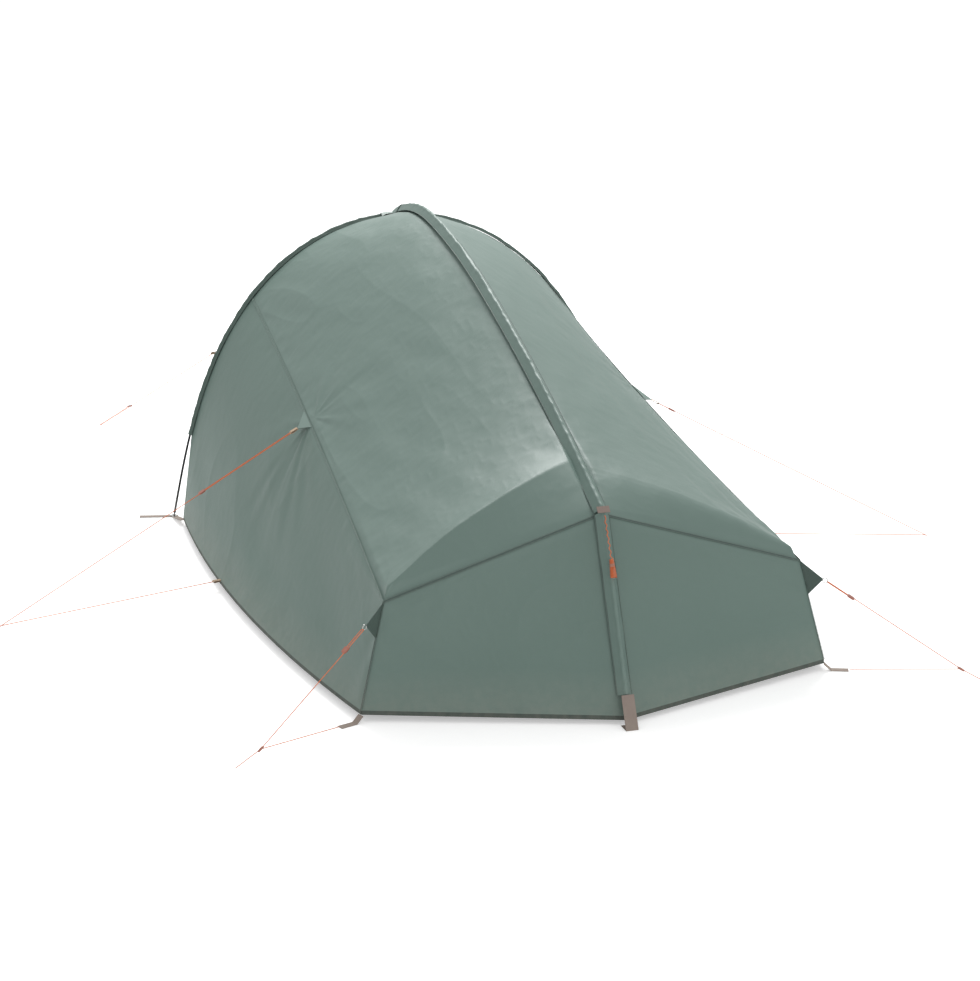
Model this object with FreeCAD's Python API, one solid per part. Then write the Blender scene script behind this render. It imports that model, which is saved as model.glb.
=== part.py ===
import FreeCAD, Part
import math
import os
from FreeCAD import Vector

# Two-person dome tent: one cross hoop, one lengthwise spine pole that goes over it, a fly sewn
# from flat-cut panels, an inner tent hung below, and guy lines with sliders.
# Millimetres. The origin is on the ground at the centre of the groundsheet's underside.
# +Y runs from the foot end to the porch, +Z is up, and X = 0 is the tent's long centre plane.

# ------------------------------------------------------------------ driving dimensions
# Poles
pole_d = 8.5
pole_wall = 0.8
pole_gap = 0.05            # between a pole and the spigot inside it
spigot_length = 60.0
section_joint = 0.2        # between the ends of two pole sections
hoop_span = 1842.0
hoop_height = 1100.0
hoop_foot_y = 1144.0
hoop_lean = 90.0           # the top of the hoop stands this far forward of its feet
hoop_sections = 8
crossing_lift = 14.0       # the spine's axis above the hoop's axis where they cross
crossing_heading = -20.0   # slope of the spine at the crossing, degrees
# The spine from the crossing back to the elbow: (radius, slope at the far end)
spine_back_bends = [(1210.0, 6.0), (3900.0, 16.0), (9000.0, 24.0)]
spine_back_sections = 6
elbow_radius = 70.0
elbow_socket = 45.0
elbow_wall = 1.2
leg_angle = 66.2
# The spine from the crossing forward
spine_front_radius = 640.0
spine_front_angle = 66.0
spine_front_sections = 4
tip_length = 34.0
tip_pin_d = 5.0

# Fly
fabric = 2.0               # thickness that stands in for one layer of cloth
body_gap = 0.5             # between a piece that moves and its neighbours
hem_height = 37.0
spine_seam_drop = 20.0     # from a pole's axis in to the seam under its sleeve
hoop_seam_drop = 6.0
seam_height_hoop = 820.0   # where the side seam meets the hoop
clip_height = 310.0        # where the hoop sleeve ends
seam_mid = (605.0, 165.0, 600.0)
corner_top = (678.0, -1124.0, 367.0)
corner_foot = (761.0, -1150.0)
hem_widest = (920.0, 120.0)
hem_head = (907.0, 1015.0)
hem_tape_height = 14.0
hem_tape_thickness = 1.2

# Porch
zip_top = (60.0, 1292.0, 1052.0)
zip_foot_share = 0.84      # how far the zip meets the hem, from the hoop foot to the front foot
door_top = (80.0, 1286.0, 1052.0)
door_foot_share = 0.12
zip_width = 6.0
zip_slider_length = 14.0

# Sleeves: half width at the seam
sleeve_layer = 1.0
sleeve_room = 2.6          # between a pole and the cloth over it
spine_sleeve_half = 23.0
hoop_sleeve_half = 13.0

# Inner tent
floor_length = 2120.0
floor_head = 1400.0
floor_foot = 1120.0
tub_height = 110.0
tub_lean = 12.0
inner_drop = 115.0         # the inner ridge hangs this far below the fly's ridge
inner_head_lean = 95.0
inner_door_half = 300.0
inner_door_height = 560.0
inner_door_spring = 260.0  # where the door's straight sides end and its arch starts
hanger_width = 12.0

# Webbing, loops and guy lines
webbing = 2.0
strap_width = 40.0
tab_width = 25.0
narrow_width = 15.0
cord_d = 2.6
strand_gap = 8.0           # between the two strands of a doubled guy line
slider_size = (18.0, 24.0, 5.0)
slider_hole_d = 3.8
ring_r = 8.0
ring_wire_d = 2.5
guy_clear = 6.0
corner_flap_tip = (744.0, -1162.0, 310.0)
corner_flap_low = 255.0
mid_flap_tip = (648.0, 158.0, 578.0)
mid_flap_base = 85.0
corner_junction = (1121.0, -1391.0, 48.0)
corner_peg = (1200.0, -1401.0)
corner_strap_end = (834.0, -1178.0)
corner_slider_at = 95.0    # from the ring down the line
side_peg = (1702.0, 62.0)
side_attach_y = 215.0
side_slider_at = {"left": 372.0, "right": 62.0}
hoop_guy_height = 616.0
hoop_peg = (982.0, 2579.0)
hoop_slider_up = 430.0     # from the peg up the line
peg_r = 4.0
hoop_bar_end = (1047.0, 1176.0)
stowed_length = 150.0
bundle_length = 62.0

left, right = -1, 1
names = {left: "left", right: "right"}
made = {}


# ------------------------------------------------------------------ small helpers
def mirrored(p, side):
    return Vector(side * p[0], p[1], p[2])


def unit(v):
    return Vector(v).multiply(1.0 / v.Length)


def mix(a, b, t):
    return Vector(a.x + (b.x - a.x) * t, a.y + (b.y - a.y) * t, a.z + (b.z - a.z) * t)


def resample(points, n):
    """n + 1 points spaced evenly along a row of points."""
    along = [0.0]
    for a, b in zip(points, points[1:]):
        along.append(along[-1] + (b - a).Length)
    row = []
    k = 0
    for i in range(n + 1):
        s = along[-1] * i / n
        while k < len(points) - 2 and along[k + 1] < s:
            k += 1
        row.append(mix(points[k], points[k + 1], (s - along[k]) / (along[k + 1] - along[k])))
    return row


def arc_row(a, b, c, n=24):
    """Points on the circle arc from a through b to c."""
    return Part.Arc(a, b, c).toShape().discretize(n + 1)


def save(node, *shapes):
    """One STEP file for one sub-part; several shapes are separate solids of it."""
    solids = [s for shape in shapes for s in shape.Solids]
    whole = solids[0] if len(solids) == 1 else Part.makeCompound(solids)
    whole.exportStep("parts/" + node + ".step")
    made[node] = whole


# ------------------------------------------------------------------ bent poles
def trace(start, heading, runs, step=4.0):
    """Stations (y, z, heading) along runs of (length, turn in degrees), each bent evenly."""
    y, z = start
    angle = math.radians(heading)
    row = [(y, z, angle)]
    for length, turn in runs:
        count = max(2, int(length / step))
        ds = length / count
        da = math.radians(turn) / count
        for _ in range(count):
            y += ds * math.cos(angle + da / 2)
            z += ds * math.sin(angle + da / 2)
            angle += da
            row.append((y, z, angle))
    return row


def spine_stations():
    """The whole spine pole, foot end first: its stations, and where the leg and the elbow end."""
    crossing = (hoop_foot_y + hoop_lean, hoop_height + crossing_lift)
    back = []
    slope = crossing_heading
    for radius, end in spine_back_bends:
        back.append((radius * math.radians(end - slope), end - slope))
        slope = end
    elbow = elbow_radius * math.radians(leg_angle - slope)
    back.append((elbow, leg_angle - slope))
    reverse = trace(crossing, 180 + crossing_heading, back)
    y, z, _ = reverse[-1]
    leg = z / math.sin(math.radians(leg_angle))
    reverse += trace((y, z), 180 + leg_angle, [(leg, 0.0)])[1:]
    front = spine_front_radius * math.radians(spine_front_angle + crossing_heading)
    ahead = trace(crossing, crossing_heading, [(front, -(spine_front_angle + crossing_heading))])
    y, z, _ = ahead[-1]
    ahead += trace((y, z), -spine_front_angle, [(z / math.sin(math.radians(spine_front_angle)), 0.0)])[1:]
    row = [(y, z, a - math.pi) for y, z, a in reversed(reverse)] + ahead[1:]
    total_back = sum(length for length, _ in back) + leg
    marks = {"leg_end": leg, "elbow_end": leg + elbow, "crossing": total_back}
    stations = [(Vector(0, y, z), Vector(0, math.cos(a), math.sin(a))) for y, z, a in row]
    return stations, marks


def hoop_stations():
    """The cross hoop, left foot first. A pole held at two hinged feet bends in proportion to its
    height above the line between them, so its end angle alone sets its shape."""
    flat_height = math.hypot(hoop_height, hoop_lean)

    def half(end_angle, count=600):
        bend = 2 * (1 - math.cos(end_angle)) / flat_height ** 2
        ds = 2.4 * flat_height / count
        x, h, angle = 0.0, 0.0, end_angle
        row = [(x, h, angle)]
        while angle > 0 and len(row) < 4 * count:
            mid = angle - bend * h * ds / 2
            x += ds * math.cos(mid)
            h += ds * math.sin(mid)
            angle -= bend * (h - ds * math.sin(mid) / 2) * ds
            row.append((x, h, angle))
        return row

    low, high = math.radians(40), math.radians(125)
    for _ in range(40):
        guess = (low + high) / 2
        if half(guess)[-1][0] > hoop_span / 2:
            low = guess
        else:
            high = guess
    row = half((low + high) / 2)
    x_end, h_end, _ = row[-1]
    row = [(x * hoop_span / 2 / x_end, h * flat_height / h_end, a) for x, h, a in row]
    lean = Vector(0, hoop_lean / flat_height, hoop_height / flat_height)
    foot = Vector(-hoop_span / 2, hoop_foot_y, 0)
    stations = []
    for x, h, a in row:
        stations.append((foot + Vector(x, 0, 0) + lean * h, Vector(1, 0, 0) * math.cos(a) + lean * math.sin(a)))
    for p, t in reversed(stations[:-1]):
        stations.append((Vector(-p.x, p.y, p.z), Vector(t.x, -t.y, -t.z)))
    return stations


class Track:
    """A row of stations (place, direction) that can be read at any distance along it."""

    def __init__(self, stations):
        self.stations = stations
        self.along = [0.0]
        for (a, _), (b, _) in zip(stations, stations[1:]):
            self.along.append(self.along[-1] + (b - a).Length)
        self.length = self.along[-1]

    def at(self, s):
        s = min(max(s, 0.0), self.length)
        low, high = 0, len(self.along) - 1
        while high - low > 1:
            mid = (low + high) // 2
            low, high = (mid, high) if self.along[mid] <= s else (low, mid)
        share = (s - self.along[low]) / (self.along[high] - self.along[low])
        (a, ta), (b, tb) = self.stations[low], self.stations[high]
        return mix(a, b, share), unit(mix(ta, tb, share))

    def height(self, z, rising=True):
        """The distance along where the row first reaches a height, going up or coming down."""
        pairs = list(zip(self.stations, self.stations[1:]))
        for i, ((a, _), (b, _)) in enumerate(pairs):
            if (a.z <= z <= b.z) if rising else (a.z >= z >= b.z and i > len(pairs) // 2):
                return self.along[i] + (self.along[i + 1] - self.along[i]) * (z - a.z) / (b.z - a.z)
        return self.length


def tangent_arc(a, direction, b):
    """The arc from a to b that leaves a in a direction, or the straight line."""
    chord = b - a
    ahead = unit(chord)
    side = direction - ahead * direction.dot(ahead)
    if side.Length < 1e-5:
        return Part.LineSegment(a, b).toShape()
    angle = math.acos(max(-1.0, min(1.0, direction.dot(ahead))))
    middle = a + chord * 0.5 + unit(side) * (chord.Length / 2 * math.tan(angle / 2))
    return Part.Arc(a, middle, b).toShape()


def biarc(a, ta, b, tb):
    """Two arcs, tangent to each other, from a along ta to b along tb."""
    v = b - a
    square = 2 * (ta.dot(tb) - 1)
    middle = -2 * v.dot(ta + tb)
    whole = v.dot(v)
    if abs(square) < 1e-9:
        d = -whole / middle
    else:
        d = (-middle - math.sqrt(middle * middle - 4 * square * whole)) / (2 * square)
        if d < 0:
            d = (-middle + math.sqrt(middle * middle - 4 * square * whole)) / (2 * square)
    joint = (a + b + (ta - tb) * d) * 0.5
    first = tangent_arc(a, ta, joint)
    second = tangent_arc(b, tb * -1, joint)
    return [first, second]


def bent_wire(track, s0, s1, pieces):
    edges = []
    for k in range(pieces):
        a, ta = track.at(s0 + (s1 - s0) * k / pieces)
        b, tb = track.at(s0 + (s1 - s0) * (k + 1) / pieces)
        edges += biarc(a, ta, b, tb)
    return Part.Wire(Part.__sortEdges__(edges))


def tube(wire, start, direction, outer_d, inner_d=0.0):
    def rod(d):
        ring = Part.Wire(Part.Circle(start, direction, d / 2).toShape())
        return wire.makePipeShell([ring], True, False)

    body = rod(outer_d)
    return body.cut(rod(inner_d)) if inner_d else body


def bent_tube(track, s0, s1, pieces, outer_d, inner_d=0.0):
    start, direction = track.at(s0)
    return tube(bent_wire(track, s0, s1, pieces), start, direction, outer_d, inner_d)


def pole_sections(track, s0, s1, count, pieces):
    """A run of equal pole sections, end to end, and the spigots that join them."""
    bore = pole_d - 2 * pole_wall
    step = (s1 - s0) / count
    sections, spigots = [], []
    for k in range(count):
        a = s0 + k * step + (section_joint / 2 if k else 0)
        b = s0 + (k + 1) * step - (section_joint / 2 if k < count - 1 else 0)
        sections.append(bent_tube(track, a, b, pieces, pole_d, bore))
        if k:
            joint = s0 + k * step
            ends = (joint - spigot_length / 2, joint + spigot_length / 2)
            spigots.append(bent_tube(track, *ends, 1, bore - 2 * pole_gap, bore - 2.4))
    return sections, spigots


def pole_tip(track, at_start):
    """A turned end cap: a spigot in the pole, a collar, and a pin that stands on the ground."""
    s = 0.0 if at_start else track.length
    foot, direction = track.at(s)
    up = direction if at_start else direction * -1
    base = foot + up * (pole_d / 2 / max(0.2, up.z) * 0.35)
    pin = Part.makeCylinder(tip_pin_d / 2, tip_length * 0.45, base, up)
    collar = Part.makeCylinder(pole_d / 2 + 0.8, tip_length * 0.2, base + up * tip_length * 0.4, up)
    plug_r = pole_d / 2 - pole_wall - pole_gap
    plug = Part.makeCylinder(plug_r, tip_length * 0.6, base + up * tip_length * 0.6, up)
    tip = pin.fuse(collar).fuse(plug)
    ground = Part.makeBox(200, 200, 200, foot + Vector(-100, -100, -200))
    return tip.cut(ground).removeSplitter()


def tip_collar_end():
    """How far along the pole its first section starts, clear of the tip's collar."""
    return tip_length * 0.6 + 3.0


# ------------------------------------------------------------------ cloth
def inward(p):
    """The direction from a place on the fly to the middle of the room, so that the layers of
    neighbouring panels end on the same edge."""
    middle = Vector(0, min(max(p.y, -900.0), 900.0), 300.0)
    return unit(middle - p)


def surface(grid):
    made_surface = Part.BSplineSurface()
    made_surface.interpolate(grid)
    return made_surface


def layer(outer, inner):
    """A closed solid between two grids of points of the same size."""
    a, b = surface(outer), surface(inner)
    u0, u1, v0, v1 = a.bounds()
    p0, p1, q0, q1 = b.bounds()
    faces = [a.toShape(), b.toShape()]
    pairs = [
        (a.uIso(u0), b.uIso(p0)),
        (a.uIso(u1), b.uIso(p1)),
        (a.vIso(v0), b.vIso(q0)),
        (a.vIso(v1), b.vIso(q1)),
    ]
    for one, two in pairs:
        faces.append(Part.makeRuledSurface(one.toShape(), two.toShape()))
    shell = Part.makeShell(faces)
    shell.sewShape(0.01)
    solid = Part.makeSolid(shell.Shells[0])
    if solid.Volume < 0:
        solid.reverse()
    return solid


def patch(top, bottom, start, end, n, m):
    """A grid over four edges: top and bottom run the same way, start joins their first points
    and end joins their last points."""
    top, bottom = resample(top, n), resample(bottom, n)
    start, end = resample(start, m), resample(end, m)
    grid = []
    for i in range(n + 1):
        u = i / n
        row = []
        for j in range(m + 1):
            v = j / m
            across = mix(top[i], bottom[i], v)
            along = mix(start[j], end[j], u)
            corner = mix(mix(top[0], top[n], u), mix(bottom[0], bottom[n], u), v)
            row.append(across + along - corner)
        grid.append(row)
    return grid


def panel(top, bottom, start, end, n=10, m=8, thickness=None, way=inward):
    grid = patch(top, bottom, start, end, n, m)
    inner = [[p + way(p) * (thickness or fabric) for p in row] for row in grid]
    return layer(grid, inner)


def plate(points, thickness, lift=0.0):
    """A flat piece of cloth or webbing: a polygon given a thickness along its normal."""
    corners = [Vector(p) for p in points]
    normal = unit((corners[1] - corners[0]).cross(corners[2] - corners[0]))
    face = Part.Face(Part.makePolygon([p + normal * lift for p in corners + corners[:1]]))
    return face.extrude(normal * thickness)


def strap(path, width, thickness, across):
    """A strap that follows points lying in one plane, whose normal is the width's direction."""
    across = unit(across)
    outer, inner = [], []
    for k, p in enumerate(path):
        before = unit(path[k] - path[k - 1]) if k else unit(path[1] - path[0])
        after = unit(path[k + 1] - path[k]) if k < len(path) - 1 else before
        side = unit((before + after).cross(across))
        stretch = thickness / 2 / max(0.3, side.dot(unit(after.cross(across))))
        outer.append(p + side * stretch)
        inner.append(p - side * stretch)
    ring = outer + inner[::-1]
    face = Part.Face(Part.makePolygon([p - across * (width / 2) for p in ring + ring[:1]]))
    return face.extrude(across * width)


def sleeve(track, s0, s1, half, drop, side, count=22):
    """The cloth tunnel over a pole: it leaves the seam, goes over the pole and comes back."""
    room = pole_d / 2 + sleeve_room

    def ring(place, tangent, extra):
        out = side.cross(tangent)
        r = room + extra
        over = []
        for degrees in range(20, 161, 5):
            a = math.radians(degrees)
            over.append(place + side * (r * math.cos(a)) + out * (r * math.sin(a)))
        first = place - out * (drop - 0.6) + side * (half + extra)
        last = place - out * (drop - 0.6) - side * (half + extra)
        return resample([first] + over + [last], 20)

    outer, inner = [], []
    for k in range(count + 1):
        place, tangent = track.at(s0 + (s1 - s0) * k / count)
        outer.append(ring(place, tangent, sleeve_layer))
        inner.append(ring(place, tangent, 0.0))
    return layer(outer, inner)


# ------------------------------------------------------------------ places the pieces share
os.makedirs("parts", exist_ok=True)
spine_row, marks = spine_stations()
spine = Track(spine_row)
hoop = Track(hoop_stations())
across = Vector(1, 0, 0)
hoop_across = unit(Vector(0, -hoop_height, hoop_lean))
crossing_s = marks["crossing"]
elbow_s = marks["leg_end"] + (marks["elbow_end"] - marks["leg_end"]) / 2
hem_back_s = spine.height(hem_height)
hem_front_s = spine.height(hem_height, rising=False)


def seam(track, s0, s1, drop, side, n=24):
    """The line on which the fly hangs from a pole, between two distances along the pole."""
    row = []
    for k in range(n + 1):
        place, tangent = track.at(s0 + (s1 - s0) * k / n)
        row.append(place - side.cross(tangent) * drop)
    return row


def spine_seam(s0, s1):
    return seam(spine, s0, s1, spine_seam_drop, across)


def hoop_seam(side, z0, z1):
    """Down one half of the hoop's seam, from one height to another (None is the top)."""
    top = hoop.length / 2 if z0 is None else hoop.height(z0)
    row = seam(hoop, top, hoop.height(z1), hoop_seam_drop, hoop_across)
    return [Vector(side * -p.x, p.y, p.z) for p in row]


def side_seam(side):
    top = hoop_seam(side, seam_height_hoop + 1, seam_height_hoop)[-1]
    return arc_row(mirrored(corner_top, side), mirrored(seam_mid, side), top)


def corner_edge(side):
    return [mirrored(corner_top, side), mirrored((*corner_foot, hem_height), side)]


def hem_corner(side):
    return mirrored((*hem_head, hem_height), side)


def side_hem(side):
    start = mirrored((*corner_foot, hem_height), side)
    return arc_row(start, mirrored((*hem_widest, hem_height), side), hem_corner(side))


def foot_seam(side):
    return [spine_seam(elbow_s, elbow_s + 1)[0], mirrored(corner_top, side)]


def foot_hem(side):
    return [spine_seam(hem_back_s, hem_back_s + 1)[0], mirrored((*corner_foot, hem_height), side)]


def hoop_edge(side):
    """The fly's edge from the side seam down the hoop to its sleeve's end, then to the hem."""
    return hoop_seam(side, seam_height_hoop, clip_height) + [hem_corner(side)]


def porch_hem(side, a=0.0, b=1.0):
    """Part of the porch's hem: 0 is at the hoop foot's corner and 1 at the front foot."""
    front = spine_seam(hem_front_s, hem_front_s + 1)[0]
    return [mix(hem_corner(side), front, a), mix(hem_corner(side), front, b)]


def zip_line(side):
    return [mirrored(zip_top, side), porch_hem(side, 0, zip_foot_share)[1]]


def hinge_line(side):
    return [mirrored(door_top, side), porch_hem(side, 0, door_foot_share)[1]]


# ------------------------------------------------------------------ the fly
def roof_panel(side):
    ridge = spine_seam(elbow_s, crossing_s)
    return panel(ridge, side_seam(side), foot_seam(side), hoop_seam(side, None, seam_height_hoop), 14, 8)


def side_panel(side):
    return panel(side_seam(side), side_hem(side), corner_edge(side), hoop_edge(side), 12, 8)


def foot_panel(side):
    leg = spine_seam(elbow_s, hem_back_s)
    return panel(foot_seam(side), foot_hem(side), leg, corner_edge(side), 8, 8)


def porch_front_panel(side):
    ridge = spine_seam(crossing_s, hem_front_s)
    top = [ridge[0], mirrored(zip_top, side)]
    return panel(ridge, zip_line(side), top, porch_hem(side, 1, zip_foot_share), 12, 4)


def porch_side_panel(side):
    edge = hoop_seam(side, None, clip_height) + [hem_corner(side)]
    top = [mirrored(door_top, side), edge[0]]
    return panel(hinge_line(side), edge, top, porch_hem(side, door_foot_share, 0), 14, 6)


def porch_middle(side, gap):
    """The flat-sided middle of one porch wall, drawn in from its neighbours by a gap."""
    (a, b), (d, c) = zip_line(side), hinge_line(side)
    ring = [a, b, c, d]
    drawn = []
    for k, p in enumerate(ring):
        before, after = ring[k - 1], ring[(k + 1) % 4]
        drawn.append(p + unit(before - p) * (2 * gap) + unit(after - p) * (2 * gap))
    a, b, c, d = drawn
    return panel([a, b], [d, c], [a, d], [b, c], 6, 6)


def hem_tape():
    solids = []
    for side in (left, right):
        rows = [foot_hem(side), side_hem(side), porch_hem(side, 0, door_foot_share), porch_hem(side, zip_foot_share, 1)]
        if side == right:
            rows.append(porch_hem(side, door_foot_share, zip_foot_share))
        for row in rows:
            solids.append(tape_on(resample(row, 10), 1.5))
    return solids


def tape_on(row, inset):
    """A band of hem tape just under the cloth's edge, along one stretch of hem."""
    ends = resample([row[0] + unit(row[1] - row[0]) * inset] + row[1:-1] + [row[-1] + unit(row[-2] - row[-1]) * inset], 10)
    wide = hem_tape_thickness + fabric
    low = [[p - Vector(0, 0, hem_tape_height * k / 3) for k in range(4)] for p in ends]
    deep = [[p + flat_inward(p) * wide for p in line] for line in low]
    return layer(low, deep)


def flat_inward(p):
    v = inward(p)
    return unit(Vector(v.x, v.y, 0))


def corner_flap(side):
    top, foot = corner_edge(side)
    low = mix(top, foot, (corner_top[2] - corner_flap_low) / (corner_top[2] - hem_height))
    return plate([top, mirrored(corner_flap_tip, side), low], fabric, -fabric / 2)


def seam_frame(side, y):
    """A place on the side seam at a given y, and the seam's direction there."""
    row = side_seam(side)
    for a, b in zip(row, row[1:]):
        if a.y <= y <= b.y:
            return mix(a, b, (y - a.y) / (b.y - a.y)), unit(b - a)
    return row[-1], unit(row[-1] - row[-2])


def mid_flap(side):
    a, _ = seam_frame(side, mid_flap_tip[1] - mid_flap_base / 2)
    b, _ = seam_frame(side, mid_flap_tip[1] + mid_flap_base)
    lift = Vector(side * 1.2, 0, 0.8)
    return plate([a + lift, mirrored(mid_flap_tip, side), b + lift], fabric)


def crossing_hood():
    """A small cap of cloth over the place where the poles cross."""
    half, back, front = 58.0, -70.0, 75.0
    outer, inner = [], []
    for i in range(7):
        y = back + (front - back) * i / 6
        place, tangent = spine.at(crossing_s + y)
        up = across.cross(tangent)
        row = []
        for j in range(9):
            x = -half + 2 * half * j / 8
            row.append(place + across * x + up * (10.6 - 16.0 * (x / half) ** 2))
        outer.append(row)
        inner.append([p - up * fabric for p in row])
    return layer(outer, inner)


def build_fly():
    for side in (left, right):
        name = names[side]
        save("roof_panel_" + name, roof_panel(side))
        save("side_panel_" + name, side_panel(side))
        save("foot_panel_" + name, foot_panel(side))
        save("porch_front_panel_" + name, porch_front_panel(side))
        save("porch_side_panel_" + name, porch_side_panel(side))
    save("porch_fixed_panel", porch_middle(right, 0.05))
    save("porch_door", porch_middle(left, body_gap))
    save("hem_tape", *hem_tape())
    save("corner_flaps", *[corner_flap(side) for side in (left, right)])
    save("mid_flaps", *[mid_flap(side) for side in (left, right)])
    save("crossing_hood", crossing_hood())


def build_sleeves():
    clear = pole_d / 2 + sleeve_room + sleeve_layer + 6.0
    low = spine.height(95.0)
    args = (spine_sleeve_half, spine_seam_drop, across)
    save("leg_sleeve", sleeve(spine, low, elbow_s - 4, *args, count=8))
    save("ridge_sleeve", sleeve(spine, elbow_s + 4, crossing_s - clear, *args, count=24))
    save("porch_sleeve", sleeve(spine, crossing_s + clear, spine.height(95.0, rising=False), *args, count=14))
    gap = spine_sleeve_half + sleeve_layer + 4.0
    for side in (left, right):
        s0 = hoop.height(clip_height)
        s1 = hoop.length / 2 - gap
        if side == right:
            s0, s1 = hoop.length - s1, hoop.length - s0
        half = sleeve(hoop, s0, s1, hoop_sleeve_half, hoop_seam_drop, hoop_across)
        save("hoop_sleeve_" + names[side], half)


# ------------------------------------------------------------------ poles
def build_poles():
    start = tip_collar_end()
    hoop_tubes, hoop_spigots = pole_sections(hoop, start, hoop.length - start, hoop_sections, 2)
    save("hoop_pole", *hoop_tubes)
    leg_end = marks["leg_end"] - 0.3
    leg, _ = pole_sections(spine, start, leg_end, 1, 1)
    save("spine_leg_pole", *leg)
    elbow_end = marks["elbow_end"] + 0.3
    back, back_spigots = pole_sections(spine, elbow_end, crossing_s, spine_back_sections, 2)
    front, front_spigots = pole_sections(spine, crossing_s, spine.length - start, spine_front_sections, 3)
    middle, middle_spigots = pole_sections(spine, crossing_s - 60, crossing_s + 60, 2, 1)
    save("spine_back_pole", *back)
    save("spine_front_pole", *front)
    save("pole_spigots", *hoop_spigots, *back_spigots, *front_spigots, *middle_spigots)
    outer_d = pole_d + 2 * elbow_wall
    ends = (marks["leg_end"] - elbow_socket, marks["elbow_end"] + elbow_socket)
    save("spine_elbow", bent_tube(spine, *ends, 6, outer_d, pole_d + 0.04))
    tips = [pole_tip(track, at_start) for track in (hoop, spine) for at_start in (True, False)]
    save("pole_tips", *tips)


# ------------------------------------------------------------------ inner tent
def floor_corner(side, end, z, out=0.0):
    """A corner of the inner tent's floor: end is -1 at the foot and 1 at the head."""
    half = (floor_head if end > 0 else floor_foot) / 2
    return Vector(side * (half + out), end * (floor_length / 2 + out), z)


def groundsheet():
    ring = [(left, -1), (right, -1), (right, 1), (left, 1)]
    return plate([floor_corner(a, b, 0) for a, b in ring], fabric)


def tub_walls():
    ring = [(left, -1), (right, -1), (right, 1), (left, 1)]
    walls = []
    for k, one in enumerate(ring):
        two = ring[(k + 1) % 4]
        rows = []
        for z, out in ((fabric, 0.0), (tub_height, tub_lean)):
            points = [
                floor_corner(*one, z, out),
                floor_corner(*two, z, out),
                floor_corner(*two, z, out - fabric),
                floor_corner(*one, z, out - fabric),
            ]
            rows.append(Part.makePolygon(points + points[:1]))
        walls.append(Part.makeLoft(rows, True, True))
    return walls


def spine_height_at(y):
    low, high = marks["elbow_end"], spine.length
    while high - low > 1:
        mid = (low + high) / 2
        low, high = (mid, high) if spine.at(mid)[0].y < y else (low, mid)
    return spine.at(low)[0].z


def inner_ridge(n=12):
    y0, y1 = inner_ends()
    rows = []
    for k in range(n + 1):
        y = y0 + (y1 - y0) * k / n
        rows.append(Vector(0, y, spine_height_at(y) - spine_seam_drop - inner_drop))
    return rows


def inner_ends():
    return -floor_length / 2 + 60.0, floor_length / 2 - inner_head_lean


def inner_arch(side, end, n=12, inset=0.0):
    """Half of the arch at one end of the inner tent, from the ridge down to the tub."""
    top = inner_ridge()[0 if end < 0 else -1]
    base = floor_corner(side, end, tub_height, tub_lean)
    row = []
    for k in range(n + 1):
        a = math.pi / 2 * (1 - k / n)
        share = math.sin(a)
        x = side * (abs(base.x) - inset) * math.cos(a)
        z = tub_height + (top.z - inset - tub_height) * share
        y = base.y + (top.y - base.y) * (z - tub_height) / (top.z - tub_height)
        row.append(Vector(x, y, z))
    return row


def inner_side(side):
    base = [floor_corner(side, -1, tub_height, tub_lean), floor_corner(side, 1, tub_height, tub_lean)]
    return panel(inner_ridge(), base, inner_arch(side, -1), inner_arch(side, 1), 10, 10)


def end_wall(end):
    """A flat end wall of the inner tent, inside its arch."""
    inset = fabric * 1.6
    ring = inner_arch(left, end, 14, inset)[::-1] + inner_arch(right, end, 14, inset)[1:]
    wall = plate(ring, fabric)
    wall.translate(Vector(0, 0, 0.6))
    return wall


def door_outline(gap, grow=0.0):
    """The arched outline of the inner door, in the head wall's plane."""
    base = floor_corner(right, 1, tub_height, tub_lean)
    top = inner_ridge()[-1]
    rise = (top - Vector(0, base.y, tub_height)) * (1 / (top.z - tub_height))
    low = 26.0 + gap
    row = []
    for k in range(17):
        a = math.pi * k / 16
        x = (inner_door_half - gap) * math.cos(a)
        h = inner_door_spring + (inner_door_height - inner_door_spring - gap) * math.sin(a)
        row.append(Vector(x, base.y, tub_height) + rise * h)
    row.append(Vector(-inner_door_half + gap, base.y, tub_height) + rise * low)
    row.append(Vector(inner_door_half - gap, base.y, tub_height) + rise * low)
    return row


def hangers():
    """Short straps that hang the inner ridge from the fly's ridge seam."""
    straps = []
    for y in (-820.0, -400.0, 20.0, 440.0, 800.0):
        top = spine_height_at(y) - spine_seam_drop - fabric * 1.9
        low = spine_height_at(y) - spine_seam_drop - inner_drop + 0.4
        straps.append(strap([Vector(0, y, low), Vector(0, y, top)], hanger_width, 1.5, across))
    return straps


def build_inner():
    save("groundsheet", groundsheet())
    save("tub_walls", *tub_walls())
    for side in (left, right):
        save("inner_side_" + names[side], inner_side(side))
    save("inner_foot_wall", end_wall(-1))
    opening = plate(door_outline(0.0), 12.0, -6.0)
    save("inner_head_wall", end_wall(1).cut(opening))
    save("inner_door", plate(door_outline(1.0), fabric))
    save("inner_hangers", *hangers())


# ------------------------------------------------------------------ webbing and feet
def foot_pocket(at_start):
    """A strap folded round a pole foot: up over the hem outside, under the tip, and back."""
    foot, _ = spine.at(0 if at_start else spine.length)
    way = -1 if at_start else 1
    lean = math.tan(math.radians(90 - (leg_angle if at_start else spine_front_angle)))
    out = []
    for z, gap in ((98.0, 13.0), (40.0, 13.0), (webbing / 2 + 0.2, 15.0)):
        out.append(Vector(0, foot.y - way * z * lean + way * gap, z))
    out.append(Vector(0, foot.y - way * 30.0, webbing / 2 + 0.2))
    pocket = strap(out, strap_width, webbing, across)
    return pocket


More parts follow.
